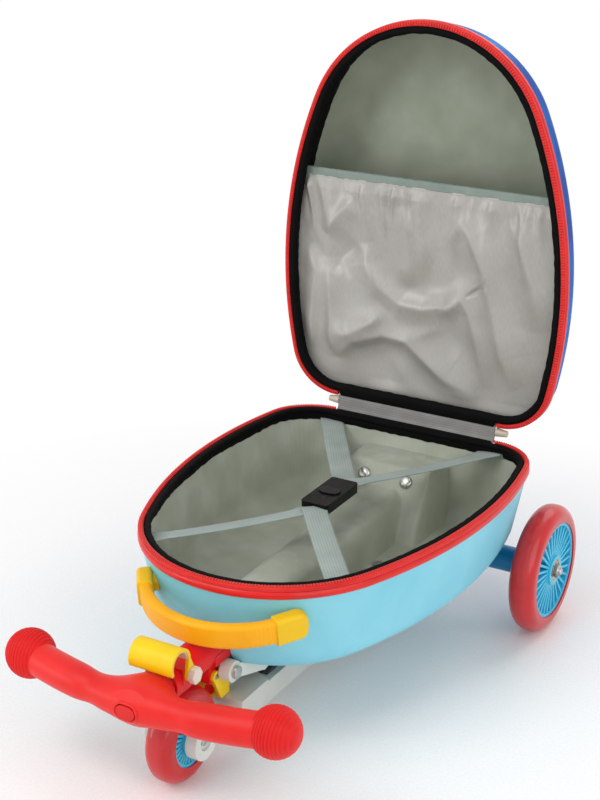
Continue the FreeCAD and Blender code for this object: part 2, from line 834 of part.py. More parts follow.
def stem_and_head():
    tube = rod_y(past_tip(outer_tube_stop), from_end(outer_tube_start), 0, stem_height, outer_tube_radius)
    bore = rod_y(past_tip(outer_tube_stop + over), from_end(outer_tube_start - over), 0, stem_height,
                 inner_tube_radius + running_fit)
    save(tube.cut(bore), "stem_outer_tube")
    sleeve = rod_y(past_tip(sleeve_stop), past_tip(sleeve_start), 0, stem_height, sleeve_radius)
    column = box(-column_half_width, column_half_width, past_tip(column_stop), past_tip(column_start),
                 stem_height - column_under_stem, stem_height)
    wing = box(-head_wing_half_width, head_wing_half_width, past_tip(column_stop), past_tip(column_start),
               stem_height - head_wing_height, stem_height)
    head = sleeve.multiFuse([column, wing])
    head = head.cut(rod_y(past_tip(sleeve_stop + over), past_tip(sleeve_start - over), 0, stem_height,
                          outer_tube_radius + running_fit))
    bolt_y = past_tip(bracket_bolt_past_tip)
    pin_y = past_tip(latch_pin_past_tip)
    wide = 2 * column_half_width
    head = head.cut(rod_x(-wide, wide, bolt_y, bracket_bolt_height, bracket_bolt_radius + running_fit))
    head = head.cut(rod_x(-wide, wide, pin_y, latch_pin_height, latch_pin_radius + running_fit))
    save(head, "frame_head")
    brackets = []
    for side in (-1, 1):
        brackets.append(head_bracket(side))
    save(group(brackets), "head_brackets")
    bolt = rod_x(-bracket_boss_outer, bracket_boss_outer, bolt_y, bracket_bolt_height, bracket_bolt_radius)
    for side in (-1, 1):
        low, high = sorted((side * bracket_boss_outer, side * (bracket_boss_outer + bolt_head_length)))
        bolt = bolt.fuse(rod_x(low, high, bolt_y, bracket_bolt_height, bolt_head_radius))
    save(bolt, "head_bolt")


def head_bracket(side):
    bolt_y = past_tip(bracket_bolt_past_tip)
    arm_y = past_tip(bracket_arm_past_tip)
    boss = rod_x(bracket_boss_inner, bracket_boss_outer, bolt_y, bracket_bolt_height, bracket_boss_radius)
    spacer = rod_x(column_half_width, bracket_boss_inner, bolt_y, bracket_bolt_height, bracket_spacer_radius)
    half = bracket_arm_half_height
    profile = Part.makePolygon([
        V(bracket_arm_inner, bolt_y, bracket_bolt_height + half),
        V(bracket_arm_inner, arm_y, bracket_arm_height + half),
        V(bracket_arm_inner, arm_y, bracket_arm_height - half),
        V(bracket_arm_inner, bolt_y, bracket_bolt_height - half),
        V(bracket_arm_inner, bolt_y, bracket_bolt_height + half),
    ])
    arm = Part.Face(profile).extrude(V(bracket_arm_outer - bracket_arm_inner, 0, 0))
    toe = rod_x(bracket_arm_inner, bracket_arm_outer, arm_y, bracket_arm_height, half)
    pad = box(bracket_arm_inner, bracket_arm_outer, arm_y - bracket_pad_length / 2.0,
              arm_y + bracket_pad_length / 2.0, bracket_arm_height, case_floor)
    solid = boss.multiFuse([spacer, arm, toe, pad])
    solid = solid.cut(base.tub(-cap_seat_gap).cut(recess(0)))
    bore = rod_x(0, 2 * bracket_boss_outer, bolt_y, bracket_bolt_height, bracket_bolt_radius + running_fit)
    solid = solid.cut(bore)
    return solid if side > 0 else mirrored(solid)


def fold_latch():
    pin_y = past_tip(latch_pin_past_tip)
    arm_in = column_half_width + slip_fit
    arm_out = arm_in + latch_arm_thickness
    web_y = past_tip(latch_web_past_tip)
    web_back = web_y + latch_web_length
    low = beam_top + tread_thickness + tread_rib_height + latch_web_low_gap
    high = low + latch_web_height
    web = box(-arm_out, arm_out, web_y, web_back, low, high)
    pieces = []
    for side in (-1, 1):
        x0, x1 = sorted((side * arm_in, side * arm_out))
        pieces.append(rod_x(x0, x1, pin_y, latch_pin_height, latch_eye_radius))
        profile = Part.makePolygon([
            V(x0, pin_y - latch_eye_radius, latch_pin_height),
            V(x0, pin_y + latch_eye_radius, latch_pin_height),
            V(x0, web_back, high),
            V(x0, web_back, low),
            V(x0, web_y, low),
            V(x0, pin_y - latch_eye_radius, latch_pin_height),
        ])
        pieces.append(Part.Face(profile).extrude(V(x1 - x0, 0, 0)))
    latch = web.multiFuse(pieces)
    pin_room = rod_x(-2 * arm_out, 2 * arm_out, pin_y, latch_pin_height, latch_pin_radius + running_fit)
    latch = latch.cut(pin_room)
    face_z = (low + high) / 2.0
    mark = rod_y(web_y - latch_button_proud, web_y, 0, face_z, latch_button_radius)
    save(latch, "fold_latch")
    save(mark, "latch_mark")
    save(rod_x(-arm_out, arm_out, pin_y, latch_pin_height, latch_pin_radius), "latch_pin")


def stem_clamp():
    y0 = past_tip(clamp_stop)
    y1 = past_tip(clamp_start)
    cam_y = past_tip(cam_past_tip)
    collar = rod_y(y0, y1, 0, stem_height, clamp_radius)
    pieces = []
    for side in (-1, 1):
        low, high = sorted((0, side * clamp_ear_outer))
        pieces.append(box(low, high, cam_y - clamp_ear_half_length, cam_y + clamp_ear_half_length,
                          stem_height, stem_height + clamp_ear_rise))
        stub_end = side * (clamp_ear_outer + slip_fit + lever_arm_thickness + slip_fit)
        low, high = sorted((side * clamp_ear_outer, stub_end))
        pieces.append(rod_x(low, high, cam_y, cam_height, cam_stub_radius))
    collar = collar.multiFuse(pieces)
    collar = collar.cut(rod_y(y0 - over, y1 + over, 0, stem_height, outer_tube_radius + running_fit))
    save(collar, "stem_clamp")
    nuts = []
    for side in (-1, 1):
        x = side * (clamp_ear_outer + 2 * slip_fit + lever_arm_thickness)
        nuts.append(hexagon_bar(x, cam_y, cam_height, clamp_nut_radius, side * clamp_nut_length))
    save(group(nuts), "clamp_nuts")


def ring_sector(half_width, y, z, outer, inner, sweep):
    # Part of a tube about an x axis, from the +Y side over the top by the sweep angle.
    profile = Part.Face(Part.makePolygon([
        V(-half_width, y + inner, z), V(-half_width, y + outer, z), V(half_width, y + outer, z),
        V(half_width, y + inner, z), V(-half_width, y + inner, z),
    ]))
    return profile.revolve(V(0, y, z), X_AXIS, sweep)


def cam_lever():
    cam_y = past_tip(cam_past_tip)
    loop_y = past_tip(lever_loop_past_tip)
    arm_in = clamp_ear_outer + slip_fit
    arm_out = arm_in + lever_arm_thickness
    inner = lever_loop_radius - lever_wall
    loop = ring_sector(arm_out, loop_y, lever_loop_height, lever_loop_radius, inner, lever_sweep)
    pieces = []
    for side in (-1, 1):
        x0, x1 = sorted((side * arm_in, side * arm_out))
        pieces.append(rod_x(x0, x1, cam_y, cam_height, cam_eye_radius))
        profile = Part.makePolygon([
            V(x0, cam_y - cam_eye_radius, cam_height),
            V(x0, cam_y + cam_eye_radius, cam_height),
            V(x0, loop_y + lever_loop_radius, lever_loop_height),
            V(x0, loop_y + inner, lever_loop_height),
            V(x0, cam_y - cam_eye_radius, cam_height),
        ])
        pieces.append(Part.Face(profile).extrude(V(x1 - x0, 0, 0)))
    lever = loop.multiFuse(pieces)
    bore = rod_x(-2 * arm_out, 2 * arm_out, cam_y, cam_height, cam_stub_radius + running_fit)
    save(lever.cut(bore), "cam_lever")
    pad_outer = inner - running_fit
    pad = ring_sector(arm_out - lever_pad_margin, loop_y, lever_loop_height, pad_outer,
                      pad_outer - lever_pad_thickness, lever_sweep)
    save(pad, "cam_lever_pad")


def ball_grip(bow, side):
    # A ball with raised ribs, threaded on the end of the bar.
    ball = Part.makeSphere(ball_radius - ball_groove, bow.middle)
    ribs = []
    for index in range(ball_rib_count):
        offset = (index - (ball_rib_count - 1) / 2.0) * ball_rib_pitch
        edge = abs(offset) + ball_rib_width / 2.0
        radius = math.sqrt(ball_radius ** 2 - edge ** 2)
        start = V(offset - ball_rib_width / 2.0, bow.middle.y, bow.middle.z)
        ribs.append(Part.makeCylinder(radius, ball_rib_width, start, X_AXIS))
    return bow.at_end(ball.multiFuse(ribs), side)


def handlebar():
    ends = V(0, past_tip(ball_past_tip), stem_height + ball_over_stem)
    middle = V(0, past_tip(bar_past_tip), stem_height)
    bow = Bow(ball_spread, ends, middle)
    circle = Part.Face(Part.Wire(Part.makeCircle(bar_radius, middle, X_AXIS)))
    socket = Part.Face(Part.Wire(Part.makeCircle(bar_radius + running_fit, middle, X_AXIS)))
    reach = bow.half_angle - bow.degrees_of(ball_socket)
    bar = bow.sweep(circle, reach)
    room = bow.sweep(socket, reach + bow.degrees_of(running_fit))
    for side, name in ((-1, "left"), (1, "right")):
        save(ball_grip(bow, side).cut(room), "grip_" + name)
    neck = rod_y(middle.y, past_tip(neck_start), 0, stem_height, neck_radius)
    bar = bar.fuse(neck)
    bar = bar.cut(rod_y(past_tip(tube_socket_stop), past_tip(neck_start - over), 0, stem_height,
                        inner_tube_radius + running_fit))
    face_y = middle.y - bar_radius
    button_back = face_y + button_depth
    pocket_back = button_back + button_travel + slip_fit
    inward = Y_AXIS
    pocket = oval(button_length + 2 * button_fit, button_width + 2 * button_fit, pocket_back - face_y + over,
                  V(0, face_y - over, stem_height), inward)
    spring_back = pocket_back + button_spring_length
    spring_room = rod_y(face_y, spring_back, 0, stem_height, button_spring_outer + slip_fit)
    save(bar.cut(pocket).cut(spring_room), "handlebar")
    spring = rod_y(pocket_back, spring_back, 0, stem_height, button_spring_outer)
    save(spring.cut(rod_y(face_y, spring_back + over, 0, stem_height, button_spring_inner)), "button_spring")
    button = oval(button_length, button_width, button_back - face_y + button_proud,
                  V(0, face_y - button_proud, stem_height), inward)
    stem = rod_y(button_back, button_back + button_stem_length, 0, stem_height, button_stem_radius)
    save(button.fuse(stem), "bar_button")
    tube = rod_y(past_tip(inner_tube_stop), from_end(inner_tube_start), 0, stem_height, inner_tube_radius)
    bore = rod_y(past_tip(inner_tube_stop + over), from_end(inner_tube_start - over), 0, stem_height,
                 inner_tube_radius - inner_tube_wall)
    save(tube.cut(bore), "stem_inner_tube")


def deck():
    y0 = past_tip(beam_stop_past_tip)
    y1 = from_end(beam_start_from_end)
    inner = beam_half_width - beam_wall
    roof = beam_top - beam_wall
    beam = box(-beam_half_width, beam_half_width, y0, y1, beam_low, beam_top)
    beam = beam.cut(box(-inner, inner, y0 - over, y1 + over, beam_low - over, roof))
    # A plain land with a rivet ends the deck beside the small wheel; the tread starts behind it.
    land_round = beam_half_width * land_round_share
    land_stop = y0 + land_length
    land = box(-beam_half_width, beam_half_width, y0, land_stop, beam_top, beam_top + land_thickness)
    land = land.common(Part.makeCylinder(land_round, land_thickness, V(0, land_stop - land_round, beam_top)))
    rivet_foot = V(0, y0 + rivet_from_stop, beam_top)
    rivet = Part.makeCylinder(rivet_radius, land_thickness + rivet_height, rivet_foot)
    save(beam.multiFuse([land, rivet]).removeSplitter(), "deck_beam")
    tread_half = beam_half_width - tread_margin
    tread_low = land_stop + land_gap
    tread_high = y1 - tread_margin
    tread = box(-tread_half, tread_half, tread_low, tread_high, beam_top, beam_top + tread_thickness)
    pitch = (tread_high - tread_low) / (tread_rib_count + 1.0)
    ribs = []
    for index in range(tread_rib_count):
        rib_y = tread_low + pitch * (index + 0.5)
        ribs.append(box(-tread_half, tread_half, rib_y, rib_y + pitch / 2.0, beam_top,
                        beam_top + tread_thickness + tread_rib_height))
    save(tread.multiFuse(ribs), "deck_tread")
    knuckle_half = inner - deck_fit
    pivot_y = from_end(pivot_from_end)
    stop_y = from_end(knuckle_stop_from_end)
    eye = rod_x(-knuckle_half, knuckle_half, pivot_y, pivot_height, pivot_eye_radius)
    knuckle_low = pivot_height - knuckle_under_pivot
    arm = box(-knuckle_half, knuckle_half, y1, pivot_y, knuckle_low, pivot_height + knuckle_over_pivot)
    root = box(-knuckle_half, knuckle_half, stop_y, y1, knuckle_low, roof)
    knuckle = eye.multiFuse([arm, root])
    knuckle = knuckle.cut(rod_x(-2 * knuckle_half, 2 * knuckle_half, pivot_y, pivot_height,
                                pivot_radius + running_fit))
    save(knuckle, "deck_knuckle")
    rear_fork(y0, knuckle_half, roof)


def rear_fork(beam_end, half, roof):
    axle_y = past_tip(rear_past_tip)
    axle_z = rear_radius
    block = box(-half, half, beam_end, beam_end + fork_block_length, beam_low, roof)
    pieces = []
    for side in (-1, 1):
        low, high = sorted((side * fork_arm_inner, side * (fork_arm_inner + fork_arm_thickness)))
        pieces.append(box(low, high, axle_y, beam_end + fork_block_length, axle_z - fork_arm_height / 2.0,
                          axle_z + fork_arm_height / 2.0 - beam_wall))
        pieces.append(rod_x(low, high, axle_y, axle_z, fork_boss_radius))
    fork = block.multiFuse(pieces)
    wheel_room = rod_x(-fork_arm_inner, fork_arm_inner, axle_y, axle_z, rear_radius + fork_clear)
    fork = fork.cut(wheel_room)
    outer = fork_arm_inner + fork_arm_thickness
    for side in (-1, 1):
        low, high = sorted((side * (outer - fork_recess_depth), side * (outer + over)))
        fork = fork.cut(rod_x(low, high, axle_y, axle_z, fork_recess_radius))
    fork = fork.cut(rod_x(-outer - over, outer + over, axle_y, axle_z, axle_radius + running_fit))
    save(fork, "rear_fork")
    axle_half = outer - fork_recess_depth / 2.0
    save(rod_x(-axle_half, axle_half, axle_y, axle_z, axle_radius), "rear_axle")
    save(tyre(0, axle_y, axle_z, rear_radius, rear_width, rear_tyre_round, rear_hub_radius), "rear_tyre")
    wheel_hub = hub(0, axle_y, axle_z, rear_hub_radius, rear_hub_rim, rear_hub_rim_width, rear_boss_radius,
                    rear_width, rear_bearing_radius, hub_rib_width)
    save(wheel_hub, "rear_hub")
    save(bearings(0, axle_y, axle_z, rear_bearing_radius, rear_width), "rear_bearings")


os.makedirs("parts", exist_ok=True)
case()
front_wheels()
frame_block()
stem_and_head()
fold_latch()
stem_clamp()
cam_lever()
handlebar()
deck()
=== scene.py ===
"""The looks of a child's ride on suitcase: an egg-shaped zip case on a scooter frame, its lid open."""

import math

import bmesh
import bpy
import numpy as np
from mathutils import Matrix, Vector, noise
from mathutils.bvhtree import BVHTree


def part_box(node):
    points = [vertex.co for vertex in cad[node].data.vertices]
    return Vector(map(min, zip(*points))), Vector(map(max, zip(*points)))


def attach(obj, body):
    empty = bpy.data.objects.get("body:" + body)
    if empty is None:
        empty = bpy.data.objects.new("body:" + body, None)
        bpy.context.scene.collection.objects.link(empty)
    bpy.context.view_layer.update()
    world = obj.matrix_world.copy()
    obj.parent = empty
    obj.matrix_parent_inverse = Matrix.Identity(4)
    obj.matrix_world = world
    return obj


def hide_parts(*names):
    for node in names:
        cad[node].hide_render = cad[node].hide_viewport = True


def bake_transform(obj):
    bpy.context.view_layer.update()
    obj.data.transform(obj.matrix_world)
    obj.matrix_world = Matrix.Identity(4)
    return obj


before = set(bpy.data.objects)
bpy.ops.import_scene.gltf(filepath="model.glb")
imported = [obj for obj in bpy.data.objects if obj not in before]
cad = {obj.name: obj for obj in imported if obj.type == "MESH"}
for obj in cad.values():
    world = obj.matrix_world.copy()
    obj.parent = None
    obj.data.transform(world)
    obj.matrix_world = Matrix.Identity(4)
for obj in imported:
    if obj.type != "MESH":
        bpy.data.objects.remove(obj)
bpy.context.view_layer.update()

# Axle carrier: the block under the hinge end and the two arms that hold the axle.
# Glass-filled nylon, injection moulded in dark blue; the axle is pushed through it.


def linear(hex_colour):
    """An sRGB hex colour as linear RGBA."""
    parts = [int(hex_colour[i:i + 2], 16) / 255 for i in (1, 3, 5)]
    return (*[c / 12.92 if c <= 0.04045 else ((c + 0.055) / 1.055) ** 2.4 for c in parts], 1.0)


def add(tree, kind, inputs=None, **settings):
    """One node of a material: its settings, and what each of its inputs holds or is fed from."""
    node = tree.nodes.new("ShaderNode" + kind)
    for name, value in settings.items():
        setattr(node, name, value)
    for name, value in (inputs or {}).items():
        if isinstance(value, bpy.types.NodeSocket):
            tree.links.new(value, node.inputs[name])
        else:
            node.inputs[name].default_value = value
    return node


def start_material(name, **sockets):
    """A new material's node tree and its Principled shader, with the values that are the same all over."""
    material = bpy.data.materials.new(name)
    material.use_nodes = True
    shader = material.node_tree.nodes["Principled BSDF"]
    for socket, value in sockets.items():
        shader.inputs[socket.replace("_", " ")].default_value = value
    return material, material.node_tree, shader


def mottle(tree, place, scale, detail, roughness=0.5):
    """Noise from 0 to 1 over a place, finer with a larger scale."""
    return add(tree, "TexNoise", {"Vector": place, "Scale": scale, "Detail": detail,
                                  "Roughness": roughness}).outputs["Fac"]


def ramp(tree, value, *stops):
    """A value's colour on a ramp of hex tones, each at its own place."""
    node = add(tree, "ValToRGB", {"Fac": value})
    elements = node.color_ramp.elements
    elements.remove(elements[1])
    elements[0].position, elements[0].color = stops[0][0], linear(stops[0][1])
    for at, tone in stops[1:]:
        elements.new(at).color = linear(tone)
    return node.outputs["Color"]


def spread(tree, value, low, high, start=0.0, end=1.0):
    """A value brought from the range start to end into the range low to high."""
    return add(tree, "MapRange", {"Value": value, "From Min": start, "From Max": end, "To Min": low,
                                  "To Max": high}).outputs["Result"]


def soften(tree, radius):
    """The normal of a form whose edges are rounded off by a radius."""
    return add(tree, "Bevel", {"Radius": radius}, samples=6).outputs["Normal"]


def bumps(tree, height, strength, distance, **under):
    """The normal that a height gives to the face, or to another normal under it."""
    return add(tree, "Bump", {"Height": height, "Strength": strength, "Distance": distance,
                              **under}).outputs["Normal"]


def wire(tree, shader, colour, gloss, normal):
    """Feeds the three inputs of a shader that change from place to place."""
    for name, source in (("Base Color", colour), ("Roughness", gloss), ("Normal", normal)):
        tree.links.new(source, shader.inputs[name])


def moulded_plastic(name, colour, dark, worn_and_highlit, roughness, grain_mm, coat=0.0, shine=0.4):
    """Injection moulded plastic: faint flow clouds, a fine eroded grain, and paler edges that are partly
    wear and partly a painted highlight.
    """
    material, tree, shader = start_material(name, Coat_Weight=coat, Coat_Roughness=0.15,
                                            Specular_IOR_Level=shine)
    place = add(tree, "TexCoord").outputs["Object"]
    flow = mottle(tree, place, 1 / 0.035, 4.0)
    body = ramp(tree, flow, (0.3, dark), (0.6, colour))
    soft_edge = soften(tree, 0.0008)
    face = add(tree, "NewGeometry").outputs["Normal"]
    bend = add(tree, "VectorMath", {0: soft_edge, 1: face}, operation="DOT_PRODUCT").outputs["Value"]
    # Paler over rounded edges: partly wear, partly a painted highlight along them.
    edge = spread(tree, bend, 0.0, 0.6, start=0.99, end=0.85)
    toned = add(tree, "Mix", {0: edge, 6: body, 7: linear(worn_and_highlit)}, data_type="RGBA").outputs[2]
    gloss = spread(tree, flow, roughness - 0.06, roughness + 0.06)
    grain = mottle(tree, place, 1000 / grain_mm, 2.0)
    wire(tree, shader, toned, gloss, bumps(tree, grain, 0.25, 0.0002, Normal=soft_edge))
    return material


def paint(material, *names):
    """Gives the solids of these names one material."""
    for name in names:
        cad[name].data.materials.clear()
        cad[name].data.materials.append(material)


# The grain of the mould is about 0.3 mm and is drawn at 0.8 mm, so that it shows.
dark_blue_nylon = moulded_plastic("dark_blue_nylon", "#0580B4", "#0474A5", "#2F9CC8", 0.42, 0.8)
paint(dark_blue_nylon, "frame_block", "axle_arms")

# Axle, nuts, bolts and pins: cold drawn steel, turned to length and zinc plated.
# Plating gives a grey mirror with fine rings from the lathe tool.


def turned_steel(name, colour, pale, roughness, ring_mm):
    """Bright steel whose tone and shine change from one tool mark to the next."""
    material, tree, shader = start_material(name, Metallic=1.0)
    place = add(tree, "TexCoord").outputs["Object"]
    rings = add(tree, "Mapping", {"Vector": place, "Scale": (1000 / ring_mm, 60.0, 60.0)})
    tool_mark = mottle(tree, rings.outputs["Vector"], 1.0, 2.0)
    plating = ramp(tree, tool_mark, (0.35, colour), (0.65, pale))
    gloss = spread(tree, tool_mark, roughness - 0.08, roughness + 0.1)
    wire(tree, shader, plating, gloss, bumps(tree, tool_mark, 0.2, 0.0001, Normal=soften(tree, 0.0005)))
    return material


# Tool marks of about 0.2 mm are drawn coarser, so that they show.
zinc_steel = turned_steel("zinc_plated_steel", "#9C9C98", "#D2D2CC", 0.3, 0.9)
paint(zinc_steel, "axle_shaft", "axle_nuts", "head_bolt", "fold_pin", "latch_pin", "rear_axle",
      "button_spring")

# Wheel bearings: two ball races in each wheel, pressed into the hub's boss.
# Ground bearing steel: two flush rings with a recessed pressed shield between them.
AXLE_RADIUS = 0.00405
FRONT_RACE, REAR_RACE, RACE_DEPTH = 0.011, 0.0095, 0.007
INNER_RING, OUTER_RING = 0.0022, 0.0016
RACE_STEP, SHIELD_STEP = 0.0005, 0.0003
bearing_steel = turned_steel("ground_bearing_steel", "#8F8C84", "#C9C5BA", 0.25, 0.7)


def quads(rows, ring=False, tube=False):
    """Points and faces over rows of points; ring joins the last row to the first, tube closes each row."""
    wide = len(rows[0])
    faces = []
    for i in range(len(rows) - (not ring)):
        a, b = i * wide, (i + 1) % len(rows) * wide
        for j in range(wide - (not tube)):
            k = (j + 1) % wide
            faces.append((a + j, a + k, b + k, b + j))
    return [tuple(p) for row in rows for p in row], faces


def make_piece(name, *parts, sharp=35, material=None, weld=True):
    """One object from parts of points and faces, smooth but for edges that turn more than sharp degrees."""
    points, faces = [], []
    for part_points, part_faces in parts:
        faces += [tuple(v + len(points) for v in face) for face in part_faces]
        points += part_points
    mesh = bpy.data.meshes.new(name)
    mesh.from_pydata(points, [], faces)
    shape = bmesh.new()
    shape.from_mesh(mesh)
    if weld:
        bmesh.ops.remove_doubles(shape, verts=shape.verts, dist=1e-6)
        bmesh.ops.dissolve_degenerate(shape, edges=shape.edges, dist=1e-7)
    bmesh.ops.recalc_face_normals(shape, faces=shape.faces)
    shape.to_mesh(mesh)
    shape.free()
    mesh.polygons.foreach_set("use_smooth", [True] * len(mesh.polygons))
    mesh.set_sharp_from_angle(angle=math.radians(sharp))
    piece = bpy.data.objects.new(name, mesh)
    bpy.context.scene.collection.objects.link(piece)
    if material:
        mesh.materials.append(material)
    return piece


def turned(profile, centre, axis, steps=72):
    """A turned form: profile lists (radius, distance along the axis) round a closed section."""
    axis = Vector(axis).normalized()
    across = axis.orthogonal().normalized()
    over = axis.cross(across)
    rows = []
    for i in range(steps):
        angle = 2 * math.pi * i / steps
        side = across * math.cos(angle) + over * math.sin(angle)
        rows.append([Vector(centre) + side * r + axis * t for r, t in profile])
    return quads(rows, ring=True, tube=True)


for node, body, race in (("front_bearings_left", "front_wheel_left", FRONT_RACE),
                         ("front_bearings_right", "front_wheel_right", FRONT_RACE),
                         ("rear_bearings", "rear_wheel", REAR_RACE)):
    low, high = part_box(node)
    middle = (low + high) / 2
    inner, outer = AXLE_RADIUS + INNER_RING, race - OUTER_RING
    section = [(AXLE_RADIUS, 0), (inner, 0), (inner, RACE_STEP), (inner + SHIELD_STEP, RACE_STEP),
               (inner + SHIELD_STEP, SHIELD_STEP), (outer - SHIELD_STEP, SHIELD_STEP),
               (outer - SHIELD_STEP, RACE_STEP), (outer, RACE_STEP), (outer, 0), (race, 0),
               (race, RACE_DEPTH), (AXLE_RADIUS, RACE_DEPTH)]
    races = [turned(section, (x, middle.y, middle.z), (way, 0, 0)) for x, way in ((low.x, 1), (high.x, -1))]
    bearings = make_piece(node + "_races", *races, material=bearing_steel)
    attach(bearings, body)
    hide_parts(node)

# Wheels: red polyurethane cast round a sky blue ribbed hub, two big ones and a small one.
# Cast urethane is glossy on its sides and dull and slightly dusty where it rolls.
ROLLED_EDGE = 0.003


def combine(tree, operation, a, b):
    """The result of an operation on two values."""
    return add(tree, "Math", {0: a, 1: b}, operation=operation).outputs["Value"]


def cast_urethane(name, colour, dark, dust, middle_y, middle_z, radius):
    """Urethane of a tyre round the axle at middle_y and middle_z, dusty near its radius."""
    material, tree, shader = start_material(name, Coat_Weight=0.45, Coat_Roughness=0.08,
                                            Specular_IOR_Level=0.3)
    place = add(tree, "TexCoord").outputs["Object"]
    about = add(tree, "VectorMath", {0: place, 1: (0, middle_y, middle_z)}, operation="SUBTRACT")
    flat = add(tree, "VectorMath", {0: about.outputs["Vector"], 1: (0, 1, 1)}, operation="MULTIPLY")
    reach = add(tree, "VectorMath", {0: flat.outputs["Vector"]}, operation="LENGTH").outputs["Value"]
    cloud = mottle(tree, place, 1 / 0.018, 5.0)
    body = ramp(tree, cloud, (0.3, dark), (0.6, colour))
    rolled = spread(tree, reach, 0.0, 0.5, start=radius - ROLLED_EDGE, end=radius)
    worn = combine(tree, "MULTIPLY", rolled, cloud)
    toned = add(tree, "Mix", {0: worn, 6: body, 7: linear(dust)}, data_type="RGBA").outputs[2]
    gloss = spread(tree, worn, 0.28, 0.6, end=0.4)
    scuff = mottle(tree, place, 1 / 0.0012, 3.0)
    wire(tree, shader, toned, gloss, bumps(tree, scuff, 0.12, 0.0002))
    return material


for tyre in ("front_tyre_left", "front_tyre_right", "rear_tyre"):
    low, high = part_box(tyre)
    radius = (high.z - low.z) / 2
    paint(cast_urethane("cast_urethane_" + tyre, "#CC1219", "#BE0E15", "#BC4A4C", high.y - radius,
                        high.z - radius, radius), tyre)
sky_blue_hub = moulded_plastic("sky_blue_polypropylene", "#3EC6EA", "#34BBE2", "#8FDFF5", 0.38, 0.8,
                               coat=0.1)
paint(sky_blue_hub, "front_hub_left", "front_hub_right", "rear_hub")

# Deck: an extruded aluminium channel with a ribbed tread, and the fork that holds the small wheel.
# The channel is powder coated silver grey; knuckle and fork are glass-filled nylon in light grey.
# The tread is a strip of dark ribbed rubber, glued onto the channel.


def powder_coat(name, colour, dark, roughness, speckle_mm):
    """Baked powder: an even colour with faint clouds and a fine orange peel."""
    material, tree, shader = start_material(name, Metallic=0.15, IOR=1.5)
    place = add(tree, "TexCoord").outputs["Object"]
    orange_peel = mottle(tree, place, 1000 / speckle_mm, 3.0)
    body = ramp(tree, mottle(tree, place, 1 / 0.05, 3.0), (0.3, dark), (0.65, colour))
    gloss = spread(tree, orange_peel, roughness - 0.08, roughness + 0.08)
    wire(tree, shader, body, gloss, bumps(tree, orange_peel, 0.2, 0.0002, Normal=soften(tree, 0.0008)))
    return material


# The orange peel of about 0.6 mm is drawn at 1.2 mm, so that it shows.
silver_coat = powder_coat("silver_powder_coat", "#D2D1CA", "#C4C2BA", 0.40, 1.2)
paint(silver_coat, "deck_beam")
tread_rubber = moulded_plastic("dark_tread_rubber", "#3A3B3C", "#2E2F30", "#55585A", 0.75, 0.6)
paint(tread_rubber, "deck_tread")
light_grey_nylon = moulded_plastic("light_grey_nylon", "#DEE3DC", "#D0D5CE", "#ECF0EA", 0.45, 0.9)
paint(light_grey_nylon, "deck_knuckle", "rear_fork")

# Stem: a steel tube in the case's tunnel with a second tube that slides in it.
# Seamless steel, chromed on the sliding tube and satin on the outer one.
satin_tube = turned_steel("satin_steel_tube", "#8D8F90", "#B9BBBB", 0.42, 1.5)
chrome_tube = turned_steel("chromed_steel_tube", "#C4C6C8", "#E2E4E5", 0.16, 3.0)
paint(satin_tube, "stem_outer_tube")
paint(chrome_tube, "stem_inner_tube")

# Head of the stem: red socket, light grey brackets to the case floor, yellow fold latch with a red mark.
# All nylon, injection moulded, with a satin mould grain.
red_nylon = moulded_plastic("red_nylon", "#E3161C", "#D41218", "#EC443E", 0.38, 0.9, shine=0.25)
yellow_nylon = moulded_plastic("yellow_nylon", "#F4D00E", "#EAC20A", "#F9E04C", 0.36, 0.9, shine=0.3)
paint(red_nylon, "frame_head", "stem_clamp", "latch_mark")
paint(light_grey_nylon, "head_brackets")
paint(yellow_nylon, "fold_latch")

# Quick release: a yellow cam lever with a beige wear pad inside its loop and white faceted nuts.
# The lever is nylon, the pad and nuts are acetal, which looks waxy.
beige_acetal = moulded_plastic("beige_acetal", "#DFC9AE", "#D2B99B", "#EBDCC8", 0.5, 1.2)
white_acetal = moulded_plastic("white_acetal", "#E6DDD0", "#DACFBF", "#F1ECE4", 0.4, 1.2)
paint(yellow_nylon, "cam_lever")
paint(beige_acetal, "cam_lever_pad")
paint(white_acetal, "clamp_nuts")

# T bar: one red moulding on the sliding tube, a bowed bar that swells into a socket at its middle.
# Soft-touch polypropylene, injection moulded: satin, with long pale rubs on its edges that are partly a
# painted highlight.
BAR_MIDDLE = Vector((0, -0.2547, 0.098))
BAR_ENDS = Vector((0, -0.2397, 0.101))
BAR_HALF_SPAN = 0.113
BAR_RADIUS = 0.014
BAR_SOCKET = 0.009
BAR_REACH = 0.034
WAIST_DEPTH, WAIST_FROM_MIDDLE, WAIST_LENGTH = 0.0016, 0.040, 0.011
NECK_RADIUS, NECK_END, NECK_START, NECK_FILLET = 0.0132, -0.2267, 0.004, 0.008
SWELL_HALF_SPAN, SWELL_HALF_DEPTH, SWELL_HALF_HEIGHT = 0.030, 0.0215, 0.0168
SWELL_BACK, SWELL_END, SWELL_SIZE, SWELL_FILLET = 0.007, 0.001, 0.016, 0.005
BUTTON_LENGTH, BUTTON_WIDTH, BUTTON_GAP = 0.017, 0.011, 0.0007
SLOT_LENGTH, SLOT_WIDTH = BUTTON_LENGTH + 2 * BUTTON_GAP, BUTTON_WIDTH + 2 * BUTTON_GAP
SLOT_FLOOR, SLOT_OVERRUN = 0.0012, 0.03


class Bow:
    """A circular arc across the part, level at its middle, with its outward and upright directions."""

    def __init__(self, half_span, ends, middle):
        lift = middle - ends
        self.outward = lift.normalized()
        self.radius = (half_span ** 2 + lift.length ** 2) / (2 * lift.length)
        self.centre = middle - self.outward * self.radius
        self.upright = Vector((1, 0, 0)).cross(self.outward)
        self.half_angle = math.atan2(half_span, self.radius - lift.length)

    def out(self, angle):
        return self.outward * math.cos(angle) + Vector((1, 0, 0)) * math.sin(angle)

    def at(self, angle):
        return self.centre + self.out(angle) * self.radius


